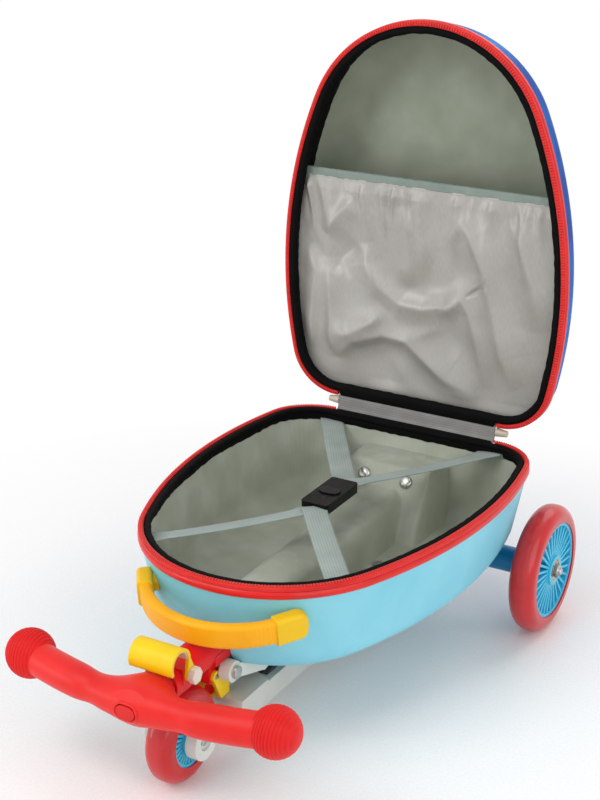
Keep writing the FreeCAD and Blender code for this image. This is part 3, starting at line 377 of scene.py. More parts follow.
def melt(a, b, soft):
    """The nearer of two distances, run together over the length soft as a moulding's fillet is."""
    share = np.clip(0.5 + 0.5 * (b - a) / soft, 0, 1)
    return b + (a - b) * share - soft * share * (1 - share)


bar_bow = Bow(BAR_HALF_SPAN, BAR_ENDS, BAR_MIDDLE)


def bar_distance(p):
    """How far points lie outside the T bar's skin."""
    from_centre = p - np.array(bar_bow.centre)
    up = from_centre @ np.array(bar_bow.upright)
    out = np.linalg.norm(from_centre - up[..., None] * np.array(bar_bow.upright), axis=-1) - bar_bow.radius
    across = np.abs(p[..., 0])
    waist = WAIST_DEPTH * np.exp(-((across - WAIST_FROM_MIDDLE) / WAIST_LENGTH) ** 2)
    bar = np.hypot(out, up) - (BAR_RADIUS - waist)
    neck = np.maximum(np.hypot(p[..., 0], p[..., 2] - BAR_MIDDLE.z) - NECK_RADIUS, p[..., 1] - NECK_END)
    neck = np.maximum(neck, BAR_MIDDLE.y - NECK_START - p[..., 1])
    swell = np.sqrt((p[..., 0] / SWELL_HALF_SPAN) ** 2
                    + ((p[..., 1] - BAR_MIDDLE.y - SWELL_BACK) / SWELL_HALF_DEPTH) ** 2
                    + ((p[..., 2] - BAR_MIDDLE.z) / SWELL_HALF_HEIGHT) ** 2)
    swell = np.maximum((swell - 1) * SWELL_SIZE, p[..., 1] - NECK_END - SWELL_END)
    return melt(melt(bar, swell, SWELL_FILLET), neck, NECK_FILLET)


def skin_of(bow, distance, half_angle, reach, stations=190, turns=96, first=0.004, steps=120):
    """Points on a skin, found along rays that leave the bow's line all round, from first to reach."""
    starts, ways = [], []
    for i in range(stations + 1):
        angle = half_angle * (2 * i / stations - 1)
        for j in range(turns):
            turn = 2 * math.pi * j / turns
            starts.append(bow.at(angle))
            ways.append(bow.out(angle) * math.cos(turn) + bow.upright * math.sin(turn))
    starts, ways = np.array(starts), np.array(ways)
    near, far = np.full(len(starts), first), np.full(len(starts), first)
    open_ray = np.ones(len(starts), bool)
    for step in np.linspace(first, reach, steps):
        inside = distance(starts + ways * step) < 0
        near = np.where(open_ray & inside, step, near)
        open_ray &= inside
        far = np.where(open_ray, step, np.maximum(far, near + reach / (steps - 2)))
    for _ in range(12):
        half = (near + far) / 2
        inside = distance(starts + ways * half[:, None]) < 0
        near, far = np.where(inside, half, near), np.where(inside, far, half)
    return (starts + ways * near[:, None]).reshape(stations + 1, turns, 3)


def capped_tube(rows):
    """A closed tube over rows of points, with a flat face at each end."""
    points, faces = quads(rows, tube=True)
    wide = len(rows[0])
    faces.append(tuple(range(wide)))
    faces.append(tuple(range(len(points) - wide, len(points))))
    return points, faces


def stadium(length, width, count):
    """Points round an oval with straight sides, as (along, across) pairs."""
    half, radius = (length - width) / 2, width / 2
    points = []
    for i in range(count):
        turn = 2 * math.pi * (i + 0.5) / count
        c, s = math.cos(turn), math.sin(turn)
        points.append((math.copysign(half, c) + radius * c, radius * s))
    return points


def carve(piece, cutter):
    """Cuts the closed mesh cutter out of piece and deletes it."""
    cut = piece.modifiers.new("cut", "BOOLEAN")
    cut.object, cut.operation, cut.solver = cutter, "DIFFERENCE", "EXACT"
    bake(piece)
    bpy.data.objects.remove(cutter)


def bake(piece):
    """Applies the piece's modifiers to its mesh."""
    bpy.context.view_layer.update()
    shown = piece.evaluated_get(bpy.context.evaluated_depsgraph_get())
    mesh = bpy.data.meshes.new_from_object(shown)
    piece.modifiers.clear()
    piece.data = mesh


red_soft_touch = moulded_plastic("red_soft_touch_polypropylene", "#E52A26", "#DC211E", "#EE4C45", 0.40, 1.0,
                                 shine=0.25)
bar_turn = bar_bow.half_angle - BAR_SOCKET / bar_bow.radius
bar_rows = skin_of(bar_bow, bar_distance, bar_turn, BAR_REACH)
t_bar = make_piece("t_bar", capped_tube([[tuple(p) for p in row] for row in bar_rows]), sharp=60,
                   material=red_soft_touch)
slot_rows = [[(x, y, BAR_MIDDLE.z + z) for x, z in stadium(SLOT_LENGTH, SLOT_WIDTH, 48)]
             for y in (BAR_MIDDLE.y - SLOT_OVERRUN, BAR_MIDDLE.y - SLOT_FLOOR)]
carve(t_bar, make_piece("slot_cutter", capped_tube(slot_rows)))
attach(t_bar, "tbar")
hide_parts("handlebar")

# Push button and the raised rim round it: an oval polypropylene button, sprung in the bar's slot.
# The rim is moulded with the bar and takes its finish; the button is a shade darker and shinier.
RIM_WIDTH, RIM_RISE, RIM_SINK, RIM_STEPS = 0.0020, 0.0017, 0.0002, 8
FRONT_OF_BAR = 0.020
rim_rows = []
for k in range(RIM_STEPS + 1):
    turn = math.pi * k / RIM_STEPS
    grow = RIM_WIDTH * (1 - math.cos(turn))
    rise = RIM_RISE * math.sin(turn)
    ring = []
    for x, z in stadium(SLOT_LENGTH + grow, SLOT_WIDTH + grow, 64):
        front = np.array([[x, y, BAR_MIDDLE.z + z]
                          for y in np.linspace(BAR_MIDDLE.y - FRONT_OF_BAR, BAR_MIDDLE.y, 160)])
        skin_y = front[np.argmax(bar_distance(front) < 0)][1]
        ring.append((x, skin_y + RIM_SINK - rise, BAR_MIDDLE.z + z))
    rim_rows.append(ring)
button_rim = make_piece("button_rim", quads(rim_rows, tube=True), sharp=60, material=red_soft_touch)
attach(button_rim, "tbar")
red_button = moulded_plastic("red_button_polypropylene", "#DA1F1D", "#CC1816", "#EC443E", 0.36, 1.0,
                             shine=0.3)
paint(red_button, "bar_button")

# Ball grips: balls pushed onto the bar's ends, with fine ribs all round the bar's axis.
# Moulded soft vinyl: dull red, darker in the grooves between the ribs.
BALL_RADIUS, BALL_POLE = 0.0204, 0.0192
RIB_PITCH, GROOVE_DEPTH, GROOVE_SHARE = 0.0027, 0.0011, 0.24
# The flat pole's last points: radius and rise.
BALL_END = ((0.003, 0.0006), (0, 0.0007))
red_vinyl = moulded_plastic("red_soft_vinyl", "#E11C1C", "#D51616", "#EC3B37", 0.45, 0.9, shine=0.22)
for node, way in (("grip_left", -1), ("grip_right", 1)):
    low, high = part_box(node)
    pole = high.x if way > 0 else low.x
    ball = []
    for along in np.linspace(-BALL_POLE, BALL_POLE, 250):
        groove = GROOVE_DEPTH * math.exp(-((along / RIB_PITCH % 1 - 0.5) / GROOVE_SHARE) ** 2)
        ball.append((math.sqrt(BALL_RADIUS ** 2 - along ** 2) - groove, along))
    ball = [(0, -BALL_POLE)] + ball + [(radius, BALL_POLE + rise) for radius, rise in BALL_END]
    centre = (pole - way * BALL_POLE, (low.y + high.y) / 2, (low.z + high.z) / 2)
    grip_ball = make_piece(node + "_ball", turned(ball, centre, (way, 0, 0), steps=96), sharp=80,
                           material=red_vinyl)
    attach(grip_ball, "tbar")
    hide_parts(node)

# Base shell: the lower half of the case, pressed from EVA foam board under a light blue skin.
# Pressed foam has a soft sheen, faint colour clouds and a fine pebble from the mould.


def foam_skin(name, stops, cloud_mm, roughness, shine):
    """The printed skin of pressed foam: clouds of a few tones over a pebble of 1.6 mm."""
    material, tree, shader = start_material(name, IOR=1.45, Specular_IOR_Level=shine)
    place = add(tree, "TexCoord").outputs["Object"]
    body = ramp(tree, mottle(tree, place, 1000 / cloud_mm, 5.0, roughness=0.55), *stops)
    pebble = mottle(tree, place, 1 / 0.0016, 3.0)
    gloss = spread(tree, pebble, roughness - 0.08, roughness + 0.08)
    wire(tree, shader, body, gloss, bumps(tree, pebble, 0.18, 0.0003))
    return material


light_blue_eva = foam_skin("light_blue_eva", [(0.3, "#7CCBE0"), (0.65, "#8AD5E7")], 60, 0.45, 0.4)
paint(light_blue_eva, "base_shell")

# Red piping: the thick vinyl roll that finishes the foam edge of each half, sewn on with the zip.
# Glossy soft vinyl over a cord, so it catches a long highlight.
red_piping = moulded_plastic("red_vinyl_piping", "#DE211F", "#D21A18", "#E63F39", 0.3, 1.4, coat=0.1,
                             shine=0.3)
paint(red_piping, "base_piping", "lid_piping")

# Zip of the base: a red woven tape over the rim with moulded teeth in a row on it.
# Teeth are acetal, 1.3 mm wide at a pitch of 2.6 mm; the tape is a plain polyester weave.
CASE_LENGTH, CASE_WIDTH = 0.372, 0.292
HINGE_END = 0.2103
WIDEST_FROM_END = 0.1302
TIP_RADIUS, CORNER_RADIUS = 0.12206, 0.04993
RIM_HEIGHT = 0.163
LID_PLANE = 0.2107
LID_FOOT = 0.173
HINGE_HALF = 0.084
ZIP_WIDTH, ZIP_THICK = 0.0115, 0.0004
# The tape's section from inside over the rim: inset from the outline and depth under the rim's plane.
ZIP_SECTION = ((0.0046, 0.0049), (0.0009, 0.0049), (0.0006, 0.0040), (0.0006, 0.0026), (0.0012, 0.0019),
               (0.0024, 0.0016), (0.0040, 0.0016), (0.0050, 0.0018))
TOOTH_PITCH, TOOTH_WIDTH = 0.0026, 0.0013
TOOTH_NEAR, TOOTH_FAR = 0.0013, 0.0041
# A tooth's layers from its root up: depth under the rim's plane and how much of its size is left.
TOOTH_LAYERS = ((0.0018, 1.0), (0.0007, 0.9), (0.0003, 0.6))


def rim_stations(count):
    """Even places round the case's outline, rows of x, y and the inward direction's x, y, and its length."""
    half = CASE_WIDTH / 2
    tip_y = HINGE_END - CASE_LENGTH + TIP_RADIUS
    widest_y = HINGE_END - WIDEST_FROM_END
    corner_y = HINGE_END - CORNER_RADIUS
    side_radius = (half ** 2 + (widest_y - tip_y) ** 2 - TIP_RADIUS ** 2) / (2 * (half - TIP_RADIUS))
    side_x = half - side_radius
    corner_x = side_x + math.sqrt((side_radius - CORNER_RADIUS) ** 2 - (corner_y - widest_y) ** 2)
    meet = math.atan2(corner_y - widest_y, corner_x - side_x)
    tip_turn = math.atan2(tip_y - widest_y, -side_x)
    right = [(x, HINGE_END, 0, -1) for x in np.linspace(0, corner_x, 60)]
    for x, y, radius, first, last in ((corner_x, corner_y, CORNER_RADIUS, math.pi / 2, meet),
                                      (side_x, widest_y, side_radius, meet, tip_turn),
                                      (0, tip_y, TIP_RADIUS, tip_turn, -math.pi / 2)):
        for turn in np.linspace(first, last, 160)[1:]:
            c, s = math.cos(turn), math.sin(turn)
            right.append((x + radius * c, y + radius * s, -c, -s))
    left = [(-x, y, -nx, ny) for x, y, nx, ny in reversed(right[:-1])]
    line = np.array(right + left)
    run = np.concatenate([[0], np.cumsum(np.hypot(*np.diff(line[:, :2], axis=0).T))])
    at = np.linspace(0, run[-1], count, endpoint=False)
    return np.stack([np.interp(at, run, line[:, k]) for k in range(4)], axis=1), run[-1]


def in_base(x, y, depth):
    """A place in the base, at a depth under its rim's plane."""
    return x, y, RIM_HEIGHT - depth


def in_lid(x, y, depth):
    """The place in the open lid that lies over x, y when the lid is shut."""
    return x, LID_PLANE + depth, LID_FOOT + HINGE_END - y


def cloth(name, rows, material, thick, ring=False, out=-1.0):
    """A sheet of cloth over rows of points, with a thickness and its weave laid in real lengths."""
    points = np.array([[tuple(p) for p in row] for row in rows])
    count, wide = points.shape[:2]
    faces = quads(rows, ring=ring)[1]
    mesh = bpy.data.meshes.new(name)
    mesh.from_pydata(points.reshape(-1, 3).tolist(), [], faces)
    lengths = np.linalg.norm(np.diff(points[:, wide // 2], axis=0, append=points[:1, wide // 2]), axis=1)
    along = np.concatenate([[0], np.cumsum(lengths)])
    across = np.concatenate([np.zeros((count, 1)),
                             np.cumsum(np.linalg.norm(np.diff(points, axis=1), axis=2), axis=1)], axis=1)
    uv = mesh.uv_layers.new(name="weave")
    place = 0
    for i in range(count - (not ring)):
        n = (i + 1) % count
        for j in range(wide - 1):
            for u, v in ((along[i], across[i, j]), (along[i], across[i, j + 1]),
                         (along[i + 1], across[n, j + 1]), (along[i + 1], across[n, j])):
                uv.data[place].uv = (u, v)
                place += 1
    shape = bmesh.new()
    shape.from_mesh(mesh)
    bmesh.ops.remove_doubles(shape, verts=shape.verts, dist=1e-6)
    shape.to_mesh(mesh)
    shape.free()
    mesh.polygons.foreach_set("use_smooth", [True] * len(mesh.polygons))
    piece = bpy.data.objects.new(name, mesh)
    bpy.context.scene.collection.objects.link(piece)
    mesh.materials.append(material)
    ply = piece.modifiers.new("ply", "SOLIDIFY")
    ply.thickness, ply.offset, ply.use_even_offset = thick, out, False
    bake(piece)
    return piece


def woven(name, colour, dark, pale, thread_mm, roughness, sheen, rib=1.0, relief=1.0, shine=0.3):
    """Plain woven cloth: threads with painted shade between them, soft wear clouds and a fibre sheen; rib
    under 1 flattens the weft.
    """
    material, tree, shader = start_material(name, IOR=1.45, Sheen_Weight=sheen, Sheen_Roughness=0.4,
                                            Specular_IOR_Level=shine)
    lie = add(tree, "TexCoord").outputs
    # A wave texture repeats each 0.314 of its unit at scale 1.
    warp, weft = [add(tree, "TexWave", {"Vector": lie["UV"], "Scale": 314 / thread_mm, "Distortion": 0.6,
                                        "Detail": 1.0}, bands_direction=way).outputs["Fac"] for way in "YX"]
    threads = combine(tree, "ADD", warp, combine(tree, "MULTIPLY", weft, rib))
    cloud = mottle(tree, lie["Object"], 1 / 0.03, 4.0)
    tone = ramp(tree, cloud, (0.3, dark), (0.5, colour), (0.7, pale))
    # Painted shade and light of the weave: darker where the threads dip, a little lighter on their tops.
    painted_thread_shade = spread(tree, threads, 1 - 0.16 * relief, 1 + 0.08 * relief, end=1.0 + rib)
    body = add(tree, "VectorMath", {0: tone, 1: painted_thread_shade}, operation="MULTIPLY").outputs["Vector"]
    gloss = spread(tree, cloud, roughness - 0.08, roughness + 0.08)
    wire(tree, shader, body, gloss, bumps(tree, threads, 0.35 * relief, 0.0003))
    return material


# Threads of about 0.5 mm are drawn 1.8 mm wide, so that they show.
red_tape = woven("red_zip_tape", "#DF2320", "#D01E1B", "#E6302C", 1.8, 0.6, 0.2)
red_teeth = moulded_plastic("red_acetal_teeth", "#E02A26", "#D2231F", "#E85A54", 0.4, 0.8)


def at_hinge(x, y):
    """Whether a place on the outline lies between the two ends of the zip."""
    return y > HINGE_END - 1e-6 and abs(x) < HINGE_HALF


def zip_half(name, node, body, lay):
    """One side of the zip on a body: its tape over the rim and the row of teeth on it."""
    stations, run = rim_stations(420)
    rows = [[lay(x + nx * w, y + ny * w, d) for w, d in ZIP_SECTION]
            for x, y, nx, ny in stations if not at_hinge(x, y)]
    tape = cloth(name + "_tape", rows, red_tape, thick=ZIP_THICK, out=0.0)
    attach(tape, body)
    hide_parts(node)
    teeth = []
    middle = (TOOTH_NEAR + TOOTH_FAR) / 2
    for x, y, nx, ny in rim_stations(round(run / TOOTH_PITCH))[0]:
        if at_hinge(x, y):
            continue
        block = []
        for depth, taper in TOOTH_LAYERS:
            ring = []
            for along, inset in ((-1, TOOTH_NEAR), (1, TOOTH_NEAR), (1, TOOTH_FAR), (-1, TOOTH_FAR)):
                step = along * taper * TOOTH_WIDTH / 2
                deep = middle + (inset - middle) * taper
                ring.append(lay(x + nx * deep - ny * step, y + ny * deep + nx * step, depth))
            block.append(ring)
        teeth.append(capped_tube(block))
    row = make_piece(name + "_teeth", *teeth, material=red_teeth, weld=False)
    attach(row, body)
    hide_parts(node)


zip_half("base_zip", "base_zip", "case", in_base)

# Binding of the base: black woven tape sewn over the raw inner edge, with a doubled roll at the top.
# Matt polyester weave; its lower edge wanders a little where the sewing drew it.
black_tape = woven("black_binding_tape", "#070707", "#050505", "#0B0B0B", 2.0, 0.75, 0.0, shine=0.1)
BASE_DRAFT, LID_DRAFT = 15 / 76, 6 / 47
RIM_PROUD, DRAFT_START = 0.0025, 0.013
BINDING_THICK, BINDING_IN, BINDING_TURNED = 0.0006, 0.0048, 0.004
BASE_BINDING, LID_BINDING = 0.014, 0.025
# The band's section, drawn for an edge at 25 mm: depth under the rim's plane and swell off the wall.
# A swell under zero is the part that lies on the rim.
BINDING_TOP, BINDING_DRAWN = 0.0013, 0.0250
BINDING_SECTION = ((0.0030, -0.0016), (0.0017, -0.0008), (0.0013, 0.0006), (0.0015, 0.0022),
                   (0.0024, 0.0036), (0.0045, 0.0044), (0.0070, 0.0042), (0.0095, 0.0032),
                   (0.0112, 0.0013), (0.0120, 0.0008), (0.0132, 0.0013), (0.0165, 0.0015),
                   (0.0200, 0.0013), (0.0230, 0.0010), (0.0250, 0.0004))
ROLL_FOOT = 0.012
SMOOTH_TO = 0.002
WANDER, FINE_WANDER, PUCKER = 0.0012, 0.0011, 0.0006
RIM_COVER_IN, RIM_COVER_DEPTH = 0.0042, 0.0010


def wall_inset(depth, inward, draft):
    """How far inside the outline the case's drafted wall stands at a depth, thickened inward."""
    return RIM_PROUD + inward + draft * max(0.0, depth - DRAFT_START)


def binding(name, node, body, lay, draft, edge):
    """A band from the rim to a depth of edge; at the hinge it also covers the rim, where no zip runs."""
    stations, run = rim_stations(440)
    stretch = (edge - BINDING_TOP) / (BINDING_DRAWN - BINDING_TOP)
    rows = []
    for k, (x, y, nx, ny) in enumerate(stations):
        turn = 2 * math.pi * k / len(stations)
        c, s = math.cos(turn), math.sin(turn)
        wander = WANDER * noise.noise((4 * c, 4 * s, draft * 40))
        wander += FINE_WANDER * noise.noise((26 * c, 26 * s, draft * 40 + 5))
        row = []
        for depth, swell in BINDING_SECTION:
            low = BINDING_TOP + (depth - BINDING_TOP) * stretch if swell > 0 else depth
            low += wander * max(0.0, depth - ROLL_FOOT) / (BINDING_DRAWN - ROLL_FOOT)
            pucker = PUCKER * noise.noise((160 * x, 160 * y, 90 * depth))
            inset = wall_inset(low, BINDING_IN + swell + pucker * (depth > SMOOTH_TO), draft)
            if swell < 0 and at_hinge(x, y):
                inset, low = RIM_COVER_IN + 2 * swell, RIM_COVER_DEPTH - 0.8 * swell
            row.append(lay(x + nx * inset, y + ny * inset, low))
        rows.append(row)
    band = cloth(name, rows, black_tape, ring=True, thick=BINDING_THICK)
    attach(band, body)
    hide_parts(node)


binding("base_binding_tape", "base_binding", "case", in_base, BASE_DRAFT, BASE_BINDING)

# Lining of the base: cloth glued loosely into the tub, from the binding down the walls and over the floor.
# Thin grey polyester in a plain weave, which ripples between its glue lines.
BASE_DEPTH, BASE_EDGE, BASE_LINING_TOP, BASE_WAVE = 0.089, 0.026, 0.010, 0.0024
LID_DEPTH, LID_EDGE, LID_LINING_TOP, LID_WAVE = 0.060, 0.034, 0.019, 0.0009
LINING_IN, LINING_THICK = 0.0042, 0.0005
RIPPLE_SIZE, RIPPLE_START = 0.05, 0.03
FLOOR_SPINE = (-0.03, 0.09)
# Threads of about 0.3 mm are drawn 1.4 mm wide, so that they show.
grey_lining = woven("grey_polyester_lining", "#ABB0A1", "#A2A898", "#B5BAAD", 1.4, 0.58, 0.1, relief=0.25)


def ripple(x, y, z, size):
    """Soft ripples from 0 to 1 with narrow crests, as loose cloth makes."""
    wave = noise.noise((x / size, y / size, z / size))
    fine = noise.noise((x / size * 2.3 + 7, y / size * 2.3, z / size * 2.3))
    return (1 - abs(wave)) ** 3 * 0.7 + (1 - abs(fine)) ** 3 * 0.3


def tub_section(depth, edge, draft, inward, top):
    """The inside of a half from a depth near its rim to its floor, as (inset, depth) pairs."""
    floor, radius, steep = depth - inward, edge - inward, math.hypot(1, draft)
    centre = floor - radius
    low = centre + radius * draft / steep
    pairs = [(wall_inset(d, inward, draft), d) for d in np.linspace(top, low, 14)]
    middle = wall_inset(low, inward, draft) + radius / steep
    start = math.atan2(low - centre, radius / steep)
    for turn in np.linspace(start, math.pi / 2, 9)[1:]:
        pairs.append((middle - radius * math.cos(turn), centre + radius * math.sin(turn)))
    return pairs, middle, floor


def tub_lining(name, node, body, lay, depth, edge, draft, wave, material, top):
    """A lining from a depth of top down the walls, and over the floor to the spine in its middle."""
    stations = rim_stations(300)[0]
    pairs, middle, floor = tub_section(depth, edge, draft, LINING_IN, top)
    rows = []
    for x, y, nx, ny in stations:
        row = []
        for inset, low in pairs:
            px, py = x + nx * inset, y + ny * inset
            swell = wave * ripple(px, py, low, RIPPLE_SIZE) * min(1.0, (low - top) / RIPPLE_START)
            tilt = max(0.0, (low - (floor - edge)) / edge)
            row.append(lay(px + nx * swell * (1 - tilt), py + ny * swell * (1 - tilt), low - swell * tilt))
        fx, fy = x + nx * middle, y + ny * middle
        spine = min(max(fy, FLOOR_SPINE[0]), FLOOR_SPINE[1])
        for share in np.linspace(0, 1, 22)[1:]:
            px, py = fx * (1 - share), fy + (spine - fy) * share
            row.append(lay(px, py, floor - wave * ripple(px, py, floor, RIPPLE_SIZE)))
        rows.append(row)
    sheet = cloth(name, rows, material, ring=True, thick=LINING_THICK, out=0.0)
    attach(sheet, body)
    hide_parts(node)
    return sheet


base_tub = tub_lining("base_tub_lining", "base_lining", "case", in_base, BASE_DEPTH, BASE_EDGE, BASE_DRAFT,
                      BASE_WAVE, grey_lining, BASE_LINING_TOP)

# Cover of the stem tunnel and the hump: a second piece of the lining cloth, drawn over both from end to end.
# Glued at its edges only, so it bridges the corners and ripples on top.
COVER_FLOOR = RIM_HEIGHT - BASE_DEPTH + LINING_IN
COVER_HALF, COVER_MARGIN = 0.060, 0.004
COVER_LIES, COVER_RISES = 0.0795, 0.004
COVER_TUCK, COVER_LIFT = -0.0012, 0.0004
COVER_WAVE, COVER_RIPPLE, COVER_GLUED = 0.0026, 0.045, 0.012
FIRST_Y, LAST_Y = HINGE_END - 0.004, HINGE_END - CASE_LENGTH + 0.004
NEAR_Y, FAR_Y = HINGE_END - 0.040, HINGE_END - 0.300
WALL_CLEAR, FOOT_RISE, WALL_WALK = 0.0012, 0.0006, 0.0005
OVER_CASE, UNDER_CASE = 0.2, 0.05
# The cloth bridges corners by about 4 mm, so the bed's heights are widened by that and then blurred.
BED_STEP, BRIDGE, BLUR, BLUR_REACH = 0.001, 4, 1.8, 6


def surface_of(node):
    """The surface of a solid, to cast rays at."""
    mesh = cad[node].data
    return BVHTree.FromPolygons([v.co[:] for v in mesh.vertices], [p.vertices[:] for p in mesh.polygons])


bed = surface_of("base_lining")


def bed_height(x, y):
    """Height of what the cloth is drawn over, a little wide of steep walls."""
    drops = [bed.ray_cast((x + step, y, OVER_CASE), (0, 0, -1))[0] for step in (-WALL_CLEAR, 0, WALL_CLEAR)]
    return max(place.z if place else 0.0 for place in drops)


def wall_foot(x, first, step, level):
    """Where along y the bed leaves the tub's wall and lies at a level, started from first."""
    y = first
    while bed_height(x, y) > level + FOOT_RISE or bed_height(x, y) < UNDER_CASE:
        y += step
    return y - step * 2


bed_x = np.arange(-COVER_HALF - COVER_MARGIN, COVER_HALF + COVER_MARGIN + BED_STEP / 2, BED_STEP)
bed_y = np.arange(LAST_Y, FIRST_Y, BED_STEP)
heights = []
for x in bed_x:
    near_level, far_level = bed_height(x, NEAR_Y), bed_height(x, FAR_Y)
    near = wall_foot(x, FIRST_Y, -WALL_WALK, near_level) - BED_STEP
    far = wall_foot(x, LAST_Y, WALL_WALK, far_level) + BED_STEP
    heights.append([near_level if y > near else far_level if y < far else bed_height(x, y) for y in bed_y])
padded = np.pad(np.array(heights), BRIDGE, mode="edge")
widened = np.max([padded[BRIDGE + i:BRIDGE + i + len(bed_x), BRIDGE + j:BRIDGE + j + len(bed_y)]
                  for i in range(-BRIDGE, BRIDGE + 1) for j in range(-BRIDGE, BRIDGE + 1)
                  if math.hypot(i, j) < BRIDGE + 0.5], axis=0)
kernel = np.exp(-(np.arange(-BLUR_REACH, BLUR_REACH + 1) / BLUR) ** 2 / 2)
kernel /= kernel.sum()
for axis in (0, 1):
    margins = [(BLUR_REACH, BLUR_REACH) if k == axis else (0, 0) for k in (0, 1)]
    grown = np.pad(widened, margins, mode="edge")
    widened = np.apply_along_axis(np.convolve, axis, grown, kernel, "valid")


def cover_height(x, y):
    """Height of the cover before its ripples."""
    i, j = (x - bed_x[0]) / BED_STEP, (y - bed_y[0]) / BED_STEP
    m, n = min(max(int(i), 0), len(bed_x) - 2), min(max(int(j), 0), len(bed_y) - 2)
    s, t = i - m, j - n
    return ((widened[m, n] * (1 - s) + widened[m + 1, n] * s) * (1 - t)
            + (widened[m, n + 1] * (1 - s) + widened[m + 1, n + 1] * s) * t)


cover_columns = []
for x in np.linspace(-COVER_HALF, COVER_HALF, 201):
    near = wall_foot(x, FIRST_Y, -WALL_WALK, cover_height(x, NEAR_Y))
    far = wall_foot(x, LAST_Y, WALL_WALK, cover_height(x, FAR_Y))
    column = []
    for y in np.clip(np.linspace(FIRST_Y, LAST_Y, 180), far, near):
        height = cover_height(x, y)
        from_edge = min(near - y, y - far)
        loose = min(1.0, from_edge / COVER_GLUED, (height - COVER_LIES) / COVER_RISES)
        lift = COVER_TUCK if height < COVER_LIES else COVER_LIFT
        swell = COVER_WAVE * ripple(x, y, height, COVER_RIPPLE) * max(0.0, loose)
        column.append((x, y, height + lift + swell))
    cover_columns.append(column)
cover = cloth("tunnel_cover", list(zip(*cover_columns)), grey_lining, thick=LINING_THICK, out=0.0)
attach(cover, "case")
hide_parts("base_lining")

# Dome screws: they hold the hump and the floor of the tub to the frame below.
# Zinc plated steel: a pressed dome on a flat washer, screwed down onto the cloth.
SCREW_RADIUS, SCREW_RISE, SCREW_SEAT = 0.006, 0.0026, 0.0012
WASHER_RADIUS, WASHER_FOOT, WASHER_EDGE, WASHER_TOP = 0.0063, -0.0015, 0.0004, 0.0007
DOME_STEPS = 8
HUMP_SCREW_X, HUMP_SCREW_FROM_END = 0.022, 0.0583
FLOOR_SCREW_X, FLOOR_SCREW_FROM_END = 0.036, 0.140
hump_out = Vector((0, -0.057, 0.040)).normalized()
hump_y, floor_y = HINGE_END - HUMP_SCREW_FROM_END, HINGE_END - FLOOR_SCREW_FROM_END
dome = [(0.0, WASHER_FOOT), (WASHER_RADIUS, WASHER_FOOT), (WASHER_RADIUS, WASHER_EDGE),
        (SCREW_RADIUS, WASHER_TOP)]
for k in range(1, DOME_STEPS):
    turn = math.pi / 2 * k / DOME_STEPS
    dome.append((SCREW_RADIUS * math.cos(turn), WASHER_TOP + SCREW_RISE * math.sin(turn)))
dome.append((0.0, WASHER_TOP + SCREW_RISE))
screws = []
for side in (-1, 1):
    x = side * HUMP_SCREW_X
    seat = Vector((x, hump_y, cover_height(x, hump_y))) + hump_out * SCREW_SEAT
    screws.append(turned(dome, seat, hump_out, steps=40))
for side in (-1, 1):
    seat = Vector((side * FLOOR_SCREW_X, floor_y, COVER_FLOOR + SCREW_SEAT))
    screws.append(turned(dome, seat, (0, 0, 1), steps=40))
screw_heads = make_piece("screw_heads", *screws, material=zinc_steel, sharp=50)
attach(screw_heads, "case")
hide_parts("lining_screws")

# Packing straps: four legs that meet at the buckle, their ends sewn in under the binding.
# Flat grey elastic: lengthwise ribs of covered rubber, pulled straight with a slight sag.
STRAP_WIDTH, STRAP_THICK, STRAP_DEPTH, STRAP_STEP = 0.022, 0.0012, 0.0124, 0.0017
STRAP_SAG, STRAP_CURL, STRAP_SEWN = 0.0022, 0.0005, 0.005
STRAP_COLUMNS, STRAP_ROWS = 13, 44
STRAP_TO_RIM, STRAP_SHORTEST, STRAP_WALK = 0.0089, 0.05, 0.0002
# How far the sewn end runs down the wall, and how much of that it runs into it.
STRAP_DROPS, STRAP_DROP_SHARE = (0.0008, 0.0020, 0.0035, 0.0050), 0.3
# A leg leans fully but near its start, and over its last stretch it keeps less and less of its lean.
LEAN_START_SHARE, LEAN_LAST_SHARE, LEAN_KEPT_SHARE = 0.12, 0.2, 0.45
BUCKLE_NEAR, BUCKLE_FAR = HINGE_END - 0.138, HINGE_END - 0.196
# The ribs are about 1 mm and are drawn 2.4 mm wide, so that they show.
strap_elastic = woven("grey_elastic_webbing", "#A0ADA8", "#97A49F", "#AAB6B1", 2.4, 0.65, 0.2, rib=0.35)
rim_points = rim_stations(1200)[0]


def from_rim(place):
    """Distances of the outline's points from a place in plan."""
    return np.hypot(*(rim_points[:, :2] - np.array(place)).T)


